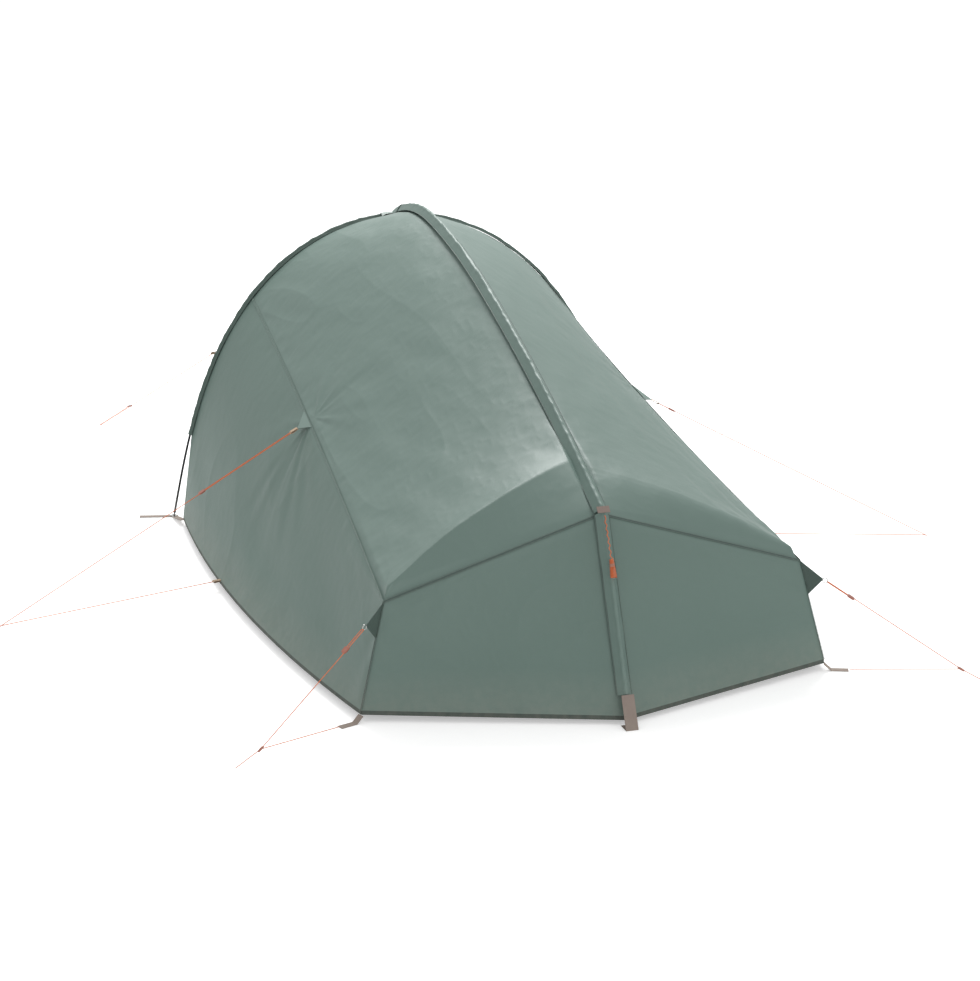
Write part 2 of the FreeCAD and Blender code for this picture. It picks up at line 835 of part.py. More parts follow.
def foot_ring(side):
    """The eyelet that the hoop's tip pin stands in."""
    place = Vector(side * hoop_span / 2, hoop_foot_y, webbing + 0.6)
    ring = Part.makeCylinder(13.0, 2.4, place)
    return ring.cut(Part.makeCylinder(tip_pin_d / 2 + 2.2, 6, place - Vector(0, 0, 2)))


def hoop_webbing(side):
    """The strap from the fly's corner through the eyelet and out to the peg."""
    corner = hem_corner(side) + Vector(0, 0, -hem_tape_height)
    eye = Vector(side * hoop_span / 2, hoop_foot_y, webbing / 2 + 0.2)
    end = mirrored((*hoop_bar_end, webbing / 2 + 0.2), side)
    line = unit(end - eye)
    flat = Vector(-line.y, line.x, 0)
    bar = strap([eye - line * 16, end], tab_width, webbing, flat)
    hole = Part.makeCylinder(tip_pin_d / 2 + 2.2, 20, Vector(eye.x, eye.y, -5))
    back = unit(Vector(corner.x - eye.x, corner.y - eye.y, 0))
    tail = [eye + back * 18 + Vector(0, 0, webbing + 0.3), corner + Vector(0, 0, -2) - back * 2]
    width = Vector(-back.y, back.x, 0)
    return [bar.cut(hole), strap(tail, tab_width, webbing, width)]


def corner_webbing(side):
    """The wedge of webbing at a foot corner: down from the hem, then out along the ground."""
    top = mirrored((*corner_foot, hem_height - hem_tape_height - 1), side)
    end = mirrored((*corner_strap_end, webbing / 2 + 0.2), side)
    out = Vector(end.x - top.x, end.y - top.y, 0)
    knee = top + out * 0.3
    knee.z = webbing / 2 + 0.2
    return strap([top, knee, end], tab_width, webbing, Vector(-out.y, out.x, 0))


def corner_ring(side):
    """The ring at the tip of a corner flap."""
    tip = mirrored(corner_flap_tip, side)
    line = unit(corner_line(side)[1] - corner_line(side)[0])
    return Part.makeTorus(ring_r, ring_wire_d / 2, tip + line * (ring_r - 2.0), ring_normal(line))


def ring_normal(line):
    return unit(Vector(line.y, -line.x, 0))


def corner_line(side):
    return [mirrored(corner_flap_tip, side), mirrored(corner_junction, side)]


def small_loop(place, line, length=26.0):
    """A sewn loop of narrow webbing that a guy line passes through."""
    flat = unit(Vector(line.y, -line.x, 0))
    up = unit(flat.cross(line))
    a, b = place, place + line * length
    path = [a + up * 2.0, b + up * 3.5, b + line * 4, b - up * 3.5, a - up * 2.0]
    return strap(path, narrow_width, 1.2, flat)


def spine_tab():
    """The webbing tab sewn across the spine at the elbow, which holds the stowed line."""
    place, tangent = spine.at(elbow_s)
    up = across.cross(tangent)
    lift = pole_d / 2 + sleeve_room + sleeve_layer + 1.4
    centre = place + up * lift
    row = [centre - tangent * 11, centre + tangent * 11]
    return strap(row, strap_width, webbing, across)


def stowed_line():
    """A spare line, zigzag folded and hung from the tab with its bundle."""
    place, _ = spine.at(elbow_s)
    low, tangent = spine.at(elbow_s - stowed_length)
    up = across.cross(tangent)
    lift = pole_d / 2 + sleeve_room + sleeve_layer
    top = place + up * (lift + 5.7) - tangent * 16
    run = low + up * (lift + 13.5)
    rope = Part.makeCylinder(2.2, (run - top).Length, top, run - top)
    cone = Part.makeCone(4.5, 11.0, bundle_length, run, tangent * -1)
    return rope.fuse(cone)


def build_webbing():
    save("foot_pockets", foot_pocket(True), foot_pocket(False))
    save("foot_rings", foot_ring(left), foot_ring(right))
    save("hoop_webbing", *hoop_webbing(left), *hoop_webbing(right))
    save("corner_webbing", corner_webbing(left), corner_webbing(right))
    save("corner_rings", corner_ring(left), corner_ring(right))
    loops = []
    for side in (left, right):
        for a, b in (side_line(side)[:2], hoop_line(side)[:2], side_line(side)[2:0:-1]):
            loops.append(small_loop(a, unit(b - a)))
    save("guy_loops", *loops)
    save("spine_tab", spine_tab())
    save("stowed_line", stowed_line())


# ------------------------------------------------------------------ guy lines
ground_z = cord_d / 2 + 0.2


def side_line(side):
    """Mid flap, peg, hem: the three ends of a side guy line."""
    peg = mirrored((*side_peg, ground_z), side)
    return [mirrored(mid_flap_tip, side), peg, mirrored((922.0, side_attach_y, hem_height), side)]


def hoop_line(side):
    z = hoop_guy_height
    top = hoop_seam(side, z + 1, z)[-1] + Vector(side * 14.0, 6.0, 4.0)
    return [top, mirrored((*hoop_peg, ground_z), side)]


def rounded_tube(points, d, radius):
    """A tube along straight runs with an arc of one radius at every corner."""
    edges = []
    here = points[0]
    for k in range(1, len(points) - 1):
        before, after = unit(points[k] - points[k - 1]), unit(points[k + 1] - points[k])
        turn = math.acos(max(-1.0, min(1.0, before.dot(after))))
        if turn < 0.001:
            continue
        near = min((points[k] - points[k - 1]).Length, (points[k + 1] - points[k]).Length)
        cut = min(radius * math.tan(turn / 2), 0.45 * near)
        a, b = points[k] - before * cut, points[k] + after * cut
        if (a - here).Length > 1e-4:
            edges.append(Part.LineSegment(here, a).toShape())
        edges.append(tangent_arc(a, before, b))
        here = b
    edges.append(Part.LineSegment(here, points[-1]).toShape())
    wire = Part.Wire(edges)
    return tube(wire, points[0], unit(points[1] - points[0]), d)


def guy_points(start, peg, slider_at):
    """A line from the slider up round its loop, back down through the slider, to the peg."""
    line = unit(peg - start)
    flat = unit(Vector(line.y, -line.x, 0))
    r = strand_gap / 2
    slider = start + line * slider_at
    top = start + line * guy_clear
    return [
        slider + flat * r + line * 8,
        top + flat * r + line * r,
        top + flat * r,
        top - flat * r,
        top - flat * r + line * r,
        slider - flat * r,
        slider - flat * r + line * 30,
        peg,
    ]


def slider_block(place, line):
    """A flat line tensioner with a hole for each strand."""
    flat = unit(Vector(line.y, -line.x, 0))
    up = unit(flat.cross(line))
    long, wide, thick = slider_size[1], slider_size[0], slider_size[2]
    corner = [place + flat * (a * wide / 2) - line * (long / 2) - up * (thick / 2) for a in (-1, 1)]
    face = Part.Face(Part.makePolygon([
        corner[0], corner[1], corner[1] + line * long * 0.75, corner[1] + line * long - flat * 5,
        corner[0] + line * long + flat * 5, corner[0] + line * long * 0.75, corner[0]]))
    block = face.extrude(up * thick)
    for a in (-1, 1):
        start = place + flat * (a * strand_gap / 2) - line * long
        block = block.cut(Part.makeCylinder(slider_hole_d / 2, long * 2, start, line))
    return block


def build_guys():
    for side in (left, right):
        name = names[side]
        tip, junction = corner_line(side)
        line = unit(junction - tip)
        start = tip + line * (2 * ring_r - 2.0 - guy_clear + 0.5)
        peg = mirrored((*corner_peg, ground_z), side)
        route = guy_points(start, junction, corner_slider_at) + [peg]
        save("corner_guy_" + name, rounded_tube(route, cord_d, strand_gap / 2))
        end = mirrored((*corner_strap_end, webbing + 2.0), side)
        back = unit(junction - end)
        save("corner_return_" + name, rounded_tube([end + back * 3, junction - back * 3], cord_d, 4))
        save("corner_slider_" + name, slider_block(start + line * corner_slider_at, line))
        flap, peg, hem = side_line(side)
        line = unit(peg - flap)
        start = flap + line * 24.0
        route = guy_points(start, peg - line * 8, side_slider_at[name])[:-1]
        away = unit(hem - peg)
        route += peg_turn(route[-1], peg, hem - away * 26.0)
        save("side_guy_" + name, rounded_tube(route, cord_d, peg_r))
        save("side_slider_" + name, slider_block(start + line * side_slider_at[name], line))
        top, peg = hoop_line(side)
        line = unit(peg - top)
        slider = peg - line * hoop_slider_up
        flat = unit(Vector(line.y, -line.x, 0))
        r = strand_gap / 2
        route = [top + line * 31.0, slider - line * 60 + flat * r, slider + flat * r]
        route += [peg + flat * r - line * r, peg + flat * r, peg - flat * r, peg - flat * r - line * r]
        route.append(slider - flat * r - line * 8)
        save("hoop_guy_" + name, rounded_tube(route, cord_d, r))
        save("hoop_slider_" + name, slider_block(slider, line * -1))


def peg_turn(before, peg, after):
    """The points of a line that goes round a peg and back to another place."""
    a, b = unit(before - peg), unit(after - peg)
    out = unit(Vector(a.x + b.x, a.y + b.y, 0)) * -1
    side = unit(Vector(a.x - b.x, a.y - b.y, 0)) * peg_r
    return [peg + side, peg + side + out * peg_r, peg - side + out * peg_r, peg - side, after]


# ------------------------------------------------------------------ the porch zip
def zip_frame():
    a, b = zip_line(left)
    line = unit(a - b)
    c, d = hinge_line(left)
    normal = unit(line.cross(d - b))
    if normal.x > 0:
        normal = normal * -1
    return a, b, line, normal


def zip_chain():
    a, b, line, normal = zip_frame()
    lift = normal * 3.0
    side = unit(line.cross(normal))
    if side.x < 0:
        side = side * -1
    away = side * (zip_width / 2 + 1.0)
    return strap([b + lift + away + line * 6, a + lift + away - line * 10], zip_width, 1.6, side)


def zip_slider():
    a, b, line, normal = zip_frame()
    side = unit(line.cross(normal))
    if side.x < 0:
        side = side * -1
    away = side * (zip_width / 2 + 1.0)
    place = b + line * 22 + away + normal * 6.1
    body = strap([place, place + line * zip_slider_length], zip_width + 3, 3.2, side)
    pull = strap([place + normal * 3.0 - line * 22, place + normal * 3.0 + line * 10], 5.0, 1.4, side)
    bridge = strap([place + line * 3 + normal * 2.0, place + line * 8 + normal * 2.0], 3.0, 2.0, side)
    return body.fuse(bridge).fuse(pull)


def build_zip():
    save("zip_chain", zip_chain())
    save("zip_slider", zip_slider())


if __name__ == "__main__":
    build_fly()
    build_sleeves()
    build_poles()
    build_inner()
    build_webbing()
    build_guys()
    build_zip()
    for node, shape in sorted(made.items()):
        good = "ok" if shape.isValid() and shape.Volume > 0 else "NOT VALID"
        box = shape.BoundBox
        print(node, len(shape.Solids), round(shape.Volume), round(box.ZMin, 2), good)
    print(len(made), "sub-parts")
    print("cord radius", cord_d / 2, "mm")
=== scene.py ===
# %% [markdown]
# # A dome tent, from frame to cloth
# The hard parts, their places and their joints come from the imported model. Every cloth panel, sleeve,
# strap and cord is made here in more detail, in the same frame: the ground is z = 0, +Y is the porch.

# %% Load the frame
import math
import bpy
import numpy as np
from mathutils import Matrix, Vector


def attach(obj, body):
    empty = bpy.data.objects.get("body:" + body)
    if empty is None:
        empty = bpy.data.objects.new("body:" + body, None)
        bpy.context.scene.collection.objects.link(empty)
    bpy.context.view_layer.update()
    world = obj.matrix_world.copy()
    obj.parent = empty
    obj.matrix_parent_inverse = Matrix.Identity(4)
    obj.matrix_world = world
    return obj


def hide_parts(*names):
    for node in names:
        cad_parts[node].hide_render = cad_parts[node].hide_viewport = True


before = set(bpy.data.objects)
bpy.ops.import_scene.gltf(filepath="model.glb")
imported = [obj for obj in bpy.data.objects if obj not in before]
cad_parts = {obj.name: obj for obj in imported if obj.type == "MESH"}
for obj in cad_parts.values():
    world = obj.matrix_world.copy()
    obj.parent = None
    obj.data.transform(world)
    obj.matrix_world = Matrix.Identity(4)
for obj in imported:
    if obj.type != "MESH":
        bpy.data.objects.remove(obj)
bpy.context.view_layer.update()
rng = np.random.default_rng(41)

# %% [markdown]
# ## Curves shared by the pieces
# The spine is a chain of even bends that goes over the hoop. The hoop is a springy pole held at its
# two feet. Both come from a few driving sizes, and both are read by distance.

# %% Curves
hoop_span, hoop_height, hoop_foot_y, hoop_lean = 1.842, 1.100, 1.144, 0.090
crossing_lift = 0.014
hoop_slant = math.hypot(hoop_height, hoop_lean)
# Each bend is its radius and the slope at its end, in degrees. The last one is the elbow.
spine_back = [(1.210, 6.0), (3.900, 16.0), (9.000, 24.0), (0.070, 66.2)]
crossing_place = (hoop_foot_y + hoop_lean, hoop_height + crossing_lift)
crossing_heading, leg_angle = -20.0, 66.2
front_radius, front_angle = 0.640, 66.0
spine_drop, hoop_drop = 0.020, 0.006
hem_z = 0.037
station_digits = 5  # places along the spine are kept to a hundredth of a millimetre
X = np.array([1.0, 0.0, 0.0])


def unit(v):
    v = np.asarray(v, float)
    return v / np.maximum(np.linalg.norm(v, axis=-1, keepdims=True), 1e-12)


def lengths(p):
    return np.concatenate([[0.0], np.cumsum(np.linalg.norm(np.diff(p, axis=0), axis=1))])


def even(points, n):
    p = np.asarray(points, float)
    s = lengths(p)
    t = np.linspace(0, s[-1], n + 1)
    return np.stack([np.interp(t, s, p[:, k]) for k in range(3)], 1)


def trace(start, heading, runs, step=0.004):
    y, z = start
    a = math.radians(heading)
    row = [(0.0, y, z)]
    for length, turn in runs:
        count = max(2, int(length / step))
        ds, da = length / count, math.radians(turn) / count
        for _ in range(count):
            y += ds * math.cos(a + da / 2)
            z += ds * math.sin(a + da / 2)
            a += da
            row.append((0.0, y, z))
    return row


class Line:
    """A curve read by distance along it."""

    def __init__(self, points):
        self.p = np.asarray(points, float)
        self.s = lengths(self.p)
        self.length = self.s[-1]
        self.t = unit(np.gradient(self.p, axis=0))

    def at(self, s):
        s = np.asarray(s, float)
        place = np.stack([np.interp(s, self.s, self.p[:, k]) for k in range(3)], -1)
        way = np.stack([np.interp(s, self.s, self.t[:, k]) for k in range(3)], -1)
        return place, unit(way)

    def height(self, z, rising=True):
        """The distance at which the rising or the falling part reaches a height."""
        top = int(np.argmax(self.p[:, 2]))
        if rising:
            return float(np.interp(z, self.p[:top + 1, 2], self.s[:top + 1]))
        return float(np.interp(-z, -self.p[top:, 2], self.s[top:]))


def spine_points():
    """The spine, foot end first, and how far along it the elbow's middle and the crossing are."""
    back, slope = [], crossing_heading
    for radius, end in spine_back:
        back.append((radius * math.radians(end - slope), end - slope))
        slope = end
    row = trace(crossing_place, 180 + crossing_heading, back)
    y, z = row[-1][1:]
    leg = z / math.sin(math.radians(leg_angle))
    row += trace((y, z), 180 + leg_angle, [(leg, 0.0)])[1:]
    turn = front_angle + crossing_heading
    ahead = trace(crossing_place, crossing_heading, [(front_radius * math.radians(turn), -turn)])
    y, z = ahead[-1][1:]
    ahead += trace((y, z), -front_angle, [(z / math.sin(math.radians(front_angle)), 0.0)])[1:]
    elbow, crossing = leg + back[-1][0] / 2, leg + sum(run for run, _ in back)
    return row[::-1] + ahead[1:], round(elbow, station_digits), round(crossing, station_digits)


def hoop_half(end_angle, count=600):
    """From a foot to the top. The pole bends in proportion to its height above the line between its
    feet, so its end angle alone sets its shape."""
    bend = 2 * (1 - math.cos(end_angle)) / hoop_slant ** 2
    ds = 2.4 * hoop_slant / count
    x, h, angle = 0.0, 0.0, end_angle
    row = [(x, h)]
    while angle > 0 and len(row) < 4 * count:
        middle = angle - bend * h * ds / 2
        x += ds * math.cos(middle)
        h += ds * math.sin(middle)
        angle -= bend * (h - ds * math.sin(middle) / 2) * ds
        row.append((x, h))
    return np.array(row)


def hoop_points():
    """The whole hoop, left foot first, with the end angle that gives it its span."""
    low, high = math.radians(40), math.radians(125)
    for _ in range(40):
        guess = (low + high) / 2
        if hoop_half(guess)[-1, 0] > hoop_span / 2:
            low = guess
        else:
            high = guess
    row = hoop_half((low + high) / 2)
    row = row * [hoop_span / 2, hoop_slant] / row[-1]
    lean = np.array([0.0, hoop_lean, hoop_height]) / hoop_slant
    half = np.array([-hoop_span / 2, hoop_foot_y, 0.0]) + row[:, :1] * X + row[:, 1:] * lean
    return np.vstack([half, (half * [-1, 1, 1])[-2::-1]])


spine_row, elbow_s, crossing_s = spine_points()
spine = Line(spine_row)
hem_back_s = round(spine.height(hem_z), station_digits)
hem_front_s = round(spine.height(hem_z, rising=False), station_digits)
hoop = Line(even(hoop_points(), 800))
hoop_side = unit([0.0, -hoop_height, hoop_lean])


def side_of(p, side):
    return np.array([side * p[0], p[1], p[2]], float)


def spine_seam(a, b, n=120):
    place, way = spine.at(np.linspace(a, b, n + 1))
    return place - np.cross(X, way) * spine_drop


def hoop_seam(side, z0, z1, n=120):
    top = hoop.length / 2 if z0 is None else hoop.height(z0)
    place, way = hoop.at(np.linspace(top, hoop.height(z1), n + 1))
    row = place - np.cross(hoop_side, way) * hoop_drop
    row[:, 0] *= -side
    return row


def arc(a, b, c, n=80):
    """The circle arc from a through b to c."""
    a, b, c = (np.asarray(p, float) for p in (a, b, c))
    u, v = b - a, c - a
    w = np.cross(u, v)
    centre = a + (np.dot(v, v) * np.cross(w, u) + np.dot(u, u) * np.cross(v, w)) / (2 * np.dot(w, w))
    e = unit(a - centre)
    f = np.cross(unit(w), e)
    r = np.linalg.norm(a - centre)
    end = math.atan2(np.dot(c - centre, f), np.dot(c - centre, e)) % (2 * math.pi)
    t = np.linspace(0, end, n + 1)[:, None]
    return centre + r * (np.cos(t) * e + np.sin(t) * f)


corner_top = (0.678, -1.124, 0.367)
corner_foot = (0.761, -1.150, hem_z)
hem_wide, hem_head = (0.920, 0.120, hem_z), (0.907, 1.015, hem_z)
seam_mid, seam_z, clip_z = (0.605, 0.165, 0.600), 0.820, 0.310
zip_top, door_top = (0.060, 1.292, 1.052), (0.080, 1.286, 1.052)
zip_share, door_share = 0.84, 0.12


def side_seam(side):
    end = hoop_seam(side, seam_z + 0.001, seam_z)[-1]
    return arc(side_of(corner_top, side), side_of(seam_mid, side), end)


def porch_hem(side, a, b):
    front = spine_seam(hem_front_s, hem_front_s + 0.001)[0]
    corner = side_of(hem_head, side)
    return np.array([corner + (front - corner) * a, corner + (front - corner) * b])


def coons(top, bottom, start, end, n, m):
    """A grid over four edges: start joins the first points of top and bottom, end the last."""
    a, b, c, d = even(top, n), even(bottom, n), even(start, m), even(end, m)
    u = np.linspace(0, 1, n + 1)[:, None, None]
    v = np.linspace(0, 1, m + 1)[None, :, None]
    corner = (a[0] * (1 - u) + a[-1] * u) * (1 - v) + (b[0] * (1 - u) + b[-1] * u) * v
    return a[:, None] * (1 - v) + b[:, None] * v + c[None] * (1 - u) + d[None] * u - corner


def coons_at(top, bottom, start, end, u, v):
    """The same surface read at chosen shares u and v along and across it."""
    def read(points, share):
        p = even(points, 600)
        t = np.linspace(0, 1, 601)
        return np.stack([np.interp(share, t, p[:, k]) for k in range(3)], -1)

    a, b, c, d = read(top, u), read(bottom, u), read(start, v), read(end, v)
    p, q, r, w = (np.asarray(x, float) for x in (top[0], top[-1], bottom[0], bottom[-1]))
    u, v = u[..., None], v[..., None]
    corner = (p * (1 - u) + q * u) * (1 - v) + (r * (1 - u) + w * u) * v
    return a * (1 - v) + b * v + c * (1 - u) + d * u - corner


# %% [markdown]
# ## Shader groups
# Three groups are used by many materials: a weave, dust that gathers low down, and worn edges.

# %% Materials
def group(name, inputs, outputs):
    tree = bpy.data.node_groups.new(name, "ShaderNodeTree")
    for title, kind, value in inputs:
        socket = tree.interface.new_socket(title, in_out="INPUT", socket_type=kind)
        if value is not None:
            socket.default_value = value
    for title, kind in outputs:
        tree.interface.new_socket(title, in_out="OUTPUT", socket_type=kind)
    return tree, tree.nodes.new("NodeGroupInput"), tree.nodes.new("NodeGroupOutput")


def node(tree, kind, **values):
    made = tree.nodes.new(kind)
    for key, value in values.items():
        if hasattr(made, key):
            setattr(made, key, value)
        else:
            made.inputs[key].default_value = value
    return made


def calc(tree, operation, a, b=None):
    made = tree.nodes.new("ShaderNodeMath")
    made.operation = operation
    for k, value in enumerate((a, b)):
        if value is None:
            continue
        if isinstance(value, (int, float)):
            made.inputs[k].default_value = value
        else:
            tree.links.new(value, made.inputs[k])
    return made.outputs[0]


def weave_group():
    """Two sets of threads across the cloth's own UV map, in metres, with a heavier grid of ripstop."""
    inputs = [("Pitch", "NodeSocketFloat", 0.0012), ("Grid", "NodeSocketFloat", 0.006),
              ("Strength", "NodeSocketFloat", 0.3)]
    tree, a, b = group("weave", inputs, [("Height", "NodeSocketFloat")])
    uv = tree.nodes.new("ShaderNodeUVMap")
    split = tree.nodes.new("ShaderNodeSeparateXYZ")
    tree.links.new(uv.outputs[0], split.inputs[0])
    rows = []
    for axis in (0, 1):
        turns = calc(tree, "DIVIDE", split.outputs[axis], a.outputs["Pitch"])
        thread = calc(tree, "SINE", calc(tree, "MULTIPLY", turns, 6.2832))
        rows.append(calc(tree, "MULTIPLY", thread, 0.25))
        cell = calc(tree, "FRACT", calc(tree, "DIVIDE", split.outputs[axis], a.outputs["Grid"]))
        rows.append(calc(tree, "GREATER_THAN", cell, 0.88))
    total = calc(tree, "ADD", calc(tree, "ADD", rows[0], rows[1]), calc(tree, "ADD", rows[2], rows[3]))
    tree.links.new(calc(tree, "MULTIPLY", total, a.outputs["Strength"]), b.inputs[0])
    return tree


def dust_group():
    """Dust and dried splashes near the ground, mixed over a colour."""
    inputs = [("Color", "NodeSocketColor", (1, 1, 1, 1)), ("Amount", "NodeSocketFloat", 0.3)]
    tree, a, b = group("dust", inputs, [("Color", "NodeSocketColor")])
    where = tree.nodes.new("ShaderNodeTexCoord")
    split = tree.nodes.new("ShaderNodeSeparateXYZ")
    tree.links.new(where.outputs["Object"], split.inputs[0])
    low = node(tree, "ShaderNodeMapRange")
    for key, value in (("From Min", 0.0), ("From Max", 0.16), ("To Min", 1.0), ("To Max", 0.0)):
        low.inputs[key].default_value = value
    tree.links.new(split.outputs[2], low.inputs["Value"])
    speck = node(tree, "ShaderNodeTexNoise", Scale=38.0, Detail=4.0, Roughness=0.6)
    tree.links.new(where.outputs["Object"], speck.inputs["Vector"])
    spots = calc(tree, "MULTIPLY", low.outputs[0], speck.outputs["Fac"])
    share = calc(tree, "MULTIPLY", spots, a.outputs["Amount"])
    mix = tree.nodes.new("ShaderNodeMix")
    mix.data_type = "RGBA"
    mix.inputs[7].default_value = (0.42, 0.38, 0.32, 1)
    tree.links.new(share, mix.inputs[0])
    tree.links.new(a.outputs["Color"], mix.inputs[6])
    tree.links.new(mix.outputs[2], b.inputs[0])
    return tree


def wear_group():
    """A lighter colour on outer edges, where handling wears a finish."""
    inputs = [("Color", "NodeSocketColor", (1, 1, 1, 1)), ("Worn", "NodeSocketColor", (0.6, 0.6, 0.6, 1)),
              ("Amount", "NodeSocketFloat", 0.4)]
    tree, a, b = group("edge wear", inputs, [("Color", "NodeSocketColor")])
    geo = tree.nodes.new("ShaderNodeNewGeometry")
    where = tree.nodes.new("ShaderNodeTexCoord")
    patchy = node(tree, "ShaderNodeTexNoise", Scale=60.0, Detail=3.0)
    tree.links.new(where.outputs["Object"], patchy.inputs["Vector"])
    edge = calc(tree, "GREATER_THAN", geo.outputs["Pointiness"], 0.53)
    share = calc(tree, "MULTIPLY", calc(tree, "MULTIPLY", edge, patchy.outputs["Fac"]), a.outputs["Amount"])
    mix = tree.nodes.new("ShaderNodeMix")
    mix.data_type = "RGBA"
    tree.links.new(share, mix.inputs[0])
    tree.links.new(a.outputs["Color"], mix.inputs[6])
    tree.links.new(a.outputs["Worn"], mix.inputs[7])
    tree.links.new(mix.outputs[2], b.inputs[0])
    return tree


weave, dust, wear = weave_group(), dust_group(), wear_group()


def use(tree, which, **values):
    made = tree.nodes.new("ShaderNodeGroup")
    made.node_tree = which
    for key, value in values.items():
        if isinstance(value, (int, float, tuple)):
            made.inputs[key].default_value = value
        else:
            tree.links.new(value, made.inputs[key])
    return made


def cloth_material(name, color, rough=0.55, pitch=0.0012, grid=0.006, bump=0.25, mottle=0.06, dirt=0.3):
    """Cloth or webbing: a weave in its height, a little mottling, and dust near the ground."""
    mat = bpy.data.materials.new(name)
    mat.use_nodes = True
    tree = mat.node_tree
    shader = tree.nodes["Principled BSDF"]
    shader.inputs["Roughness"].default_value = rough
    where = tree.nodes.new("ShaderNodeTexCoord")
    cloud = node(tree, "ShaderNodeTexNoise", Scale=3.2, Detail=5.0, Roughness=0.6)
    tree.links.new(where.outputs["Object"], cloud.inputs["Vector"])
    shade = tree.nodes.new("ShaderNodeMix")
    shade.data_type = "RGBA"
    shade.inputs[6].default_value = (*[c * (1 - mottle) for c in color], 1)
    shade.inputs[7].default_value = (*[c * (1 + mottle) for c in color], 1)
    tree.links.new(cloud.outputs["Fac"], shade.inputs[0])
    dusty = use(tree, dust, Color=shade.outputs[2], Amount=dirt)
    tree.links.new(dusty.outputs[0], shader.inputs["Base Color"])
    threads = use(tree, weave, Pitch=pitch, Grid=grid, Strength=bump)
    raised = node(tree, "ShaderNodeBump", Distance=0.0002, Strength=0.5)
    tree.links.new(threads.outputs[0], raised.inputs["Height"])
    tree.links.new(raised.outputs[0], shader.inputs["Normal"])
    return mat


def hard_material(name, color, rough=0.4, metallic=0.0, worn=(0.6, 0.6, 0.6), amount=0.3, scale=90.0):
    """Metal or plastic: uneven gloss, worn edges and a little dust."""
    mat = bpy.data.materials.new(name)
    mat.use_nodes = True
    tree = mat.node_tree
    shader = tree.nodes["Principled BSDF"]
    shader.inputs["Metallic"].default_value = metallic
    where = tree.nodes.new("ShaderNodeTexCoord")
    grain = node(tree, "ShaderNodeTexNoise", Scale=scale, Detail=3.0)
    tree.links.new(where.outputs["Object"], grain.inputs["Vector"])
    dull = node(tree, "ShaderNodeMapRange")
    dull.inputs["To Min"].default_value = rough * 0.8
    dull.inputs["To Max"].default_value = min(1.0, rough * 1.2)
    tree.links.new(grain.outputs["Fac"], dull.inputs["Value"])
    tree.links.new(dull.outputs[0], shader.inputs["Roughness"])
    edged = use(tree, wear, Color=(*color, 1), Worn=(*worn, 1), Amount=amount)
    dusty = use(tree, dust, Color=edged.outputs[0], Amount=0.25)
    tree.links.new(dusty.outputs[0], shader.inputs["Base Color"])
    return mat


fly_green = cloth_material("fly_green", (0.130, 0.194, 0.169), rough=0.48, mottle=0.04)
# fly_side_shaded is the fly's own green cloth made a little darker: painted shade for the steep side, foot
# and porch-side panels, which face away from the light.
fly_side_shaded = cloth_material("fly_side_shaded", (0.118, 0.180, 0.155), rough=0.5, mottle=0.04)
sleeve_dark = cloth_material("sleeve_dark", (0.075, 0.115, 0.098), rough=0.6, bump=0.4)
fly_dark = cloth_material("fly_dark", (0.060, 0.092, 0.078), rough=0.6, bump=0.4)
tape_dark = cloth_material("tape_dark", (0.035, 0.058, 0.05), rough=0.75, pitch=0.0016, grid=0.02, bump=0.6)
brown_web = cloth_material("brown_web", (0.245, 0.19, 0.165), rough=0.85, pitch=0.0022, grid=0.02,
                           bump=1.0, dirt=0.5)
tan_web = cloth_material("tan_web", (0.42, 0.30, 0.20), rough=0.85, pitch=0.002, grid=0.02, bump=1.0)
floor_dark = cloth_material("floor_dark", (0.075, 0.082, 0.09), rough=0.7, dirt=0.6)
inner_pale = cloth_material("inner_pale", (0.62, 0.61, 0.56), rough=0.8, pitch=0.001, bump=0.2)
inner_net = cloth_material("inner_net", (0.10, 0.11, 0.11), rough=0.9, pitch=0.0018, grid=0.0018, bump=1.0)
zip_black = cloth_material("zip_black", (0.05, 0.07, 0.065), rough=0.6, pitch=0.0014, grid=0.01, bump=0.8)
cord_orange = cloth_material("cord_orange", (0.66, 0.165, 0.06), rough=0.75, pitch=0.0016, grid=0.003,
                             bump=1.0, dirt=0.4)
thread_pale = cloth_material("thread_pale", (0.24, 0.30, 0.27), rough=0.8, pitch=0.0005, grid=0.001, bump=0.5)
pole_black = hard_material("pole_black", (0.022, 0.022, 0.026), rough=0.32, metallic=0.6, amount=0.2)
alloy = hard_material("alloy", (0.55, 0.55, 0.57), rough=0.3, metallic=0.9, worn=(0.75, 0.75, 0.76))
steel = hard_material("steel", (0.58, 0.57, 0.55), rough=0.22, metallic=1.0, worn=(0.8, 0.8, 0.8))
slider_red = hard_material("slider_red", (0.35, 0.09, 0.05), rough=0.35, metallic=0.6, worn=(0.65, 0.5, 0.45))
tip_black = hard_material("tip_black", (0.03, 0.03, 0.03), rough=0.55, amount=0.15)

# %% [markdown]
# ## Cloth
# A sheet is a grid over its four seams, pushed out or in by folds. The push fades to nothing at the
# seams, so neighbouring sheets keep meeting on the same line.

# %% Cloth helpers
lattice = rng.random((128, 128))
fade_width = 0.03


def noise(x, y):
    xi, yi = np.floor(x).astype(int), np.floor(y).astype(int)
    fx, fy = x - xi, y - yi
    fx, fy = fx * fx * (3 - 2 * fx), fy * fy * (3 - 2 * fy)

    def g(a, b):
        return lattice[a % 128, b % 128]

    low = g(xi, yi) * (1 - fx) + g(xi + 1, yi) * fx
    high = g(xi, yi + 1) * (1 - fx) + g(xi + 1, yi + 1) * fx
    return (low * (1 - fy) + high * fy) * 2 - 1


def crease(x, y):
    """Soft hollows between sharp ridges."""
    return 1 - 2 * np.sqrt(np.abs(noise(x, y)) + 0.01)


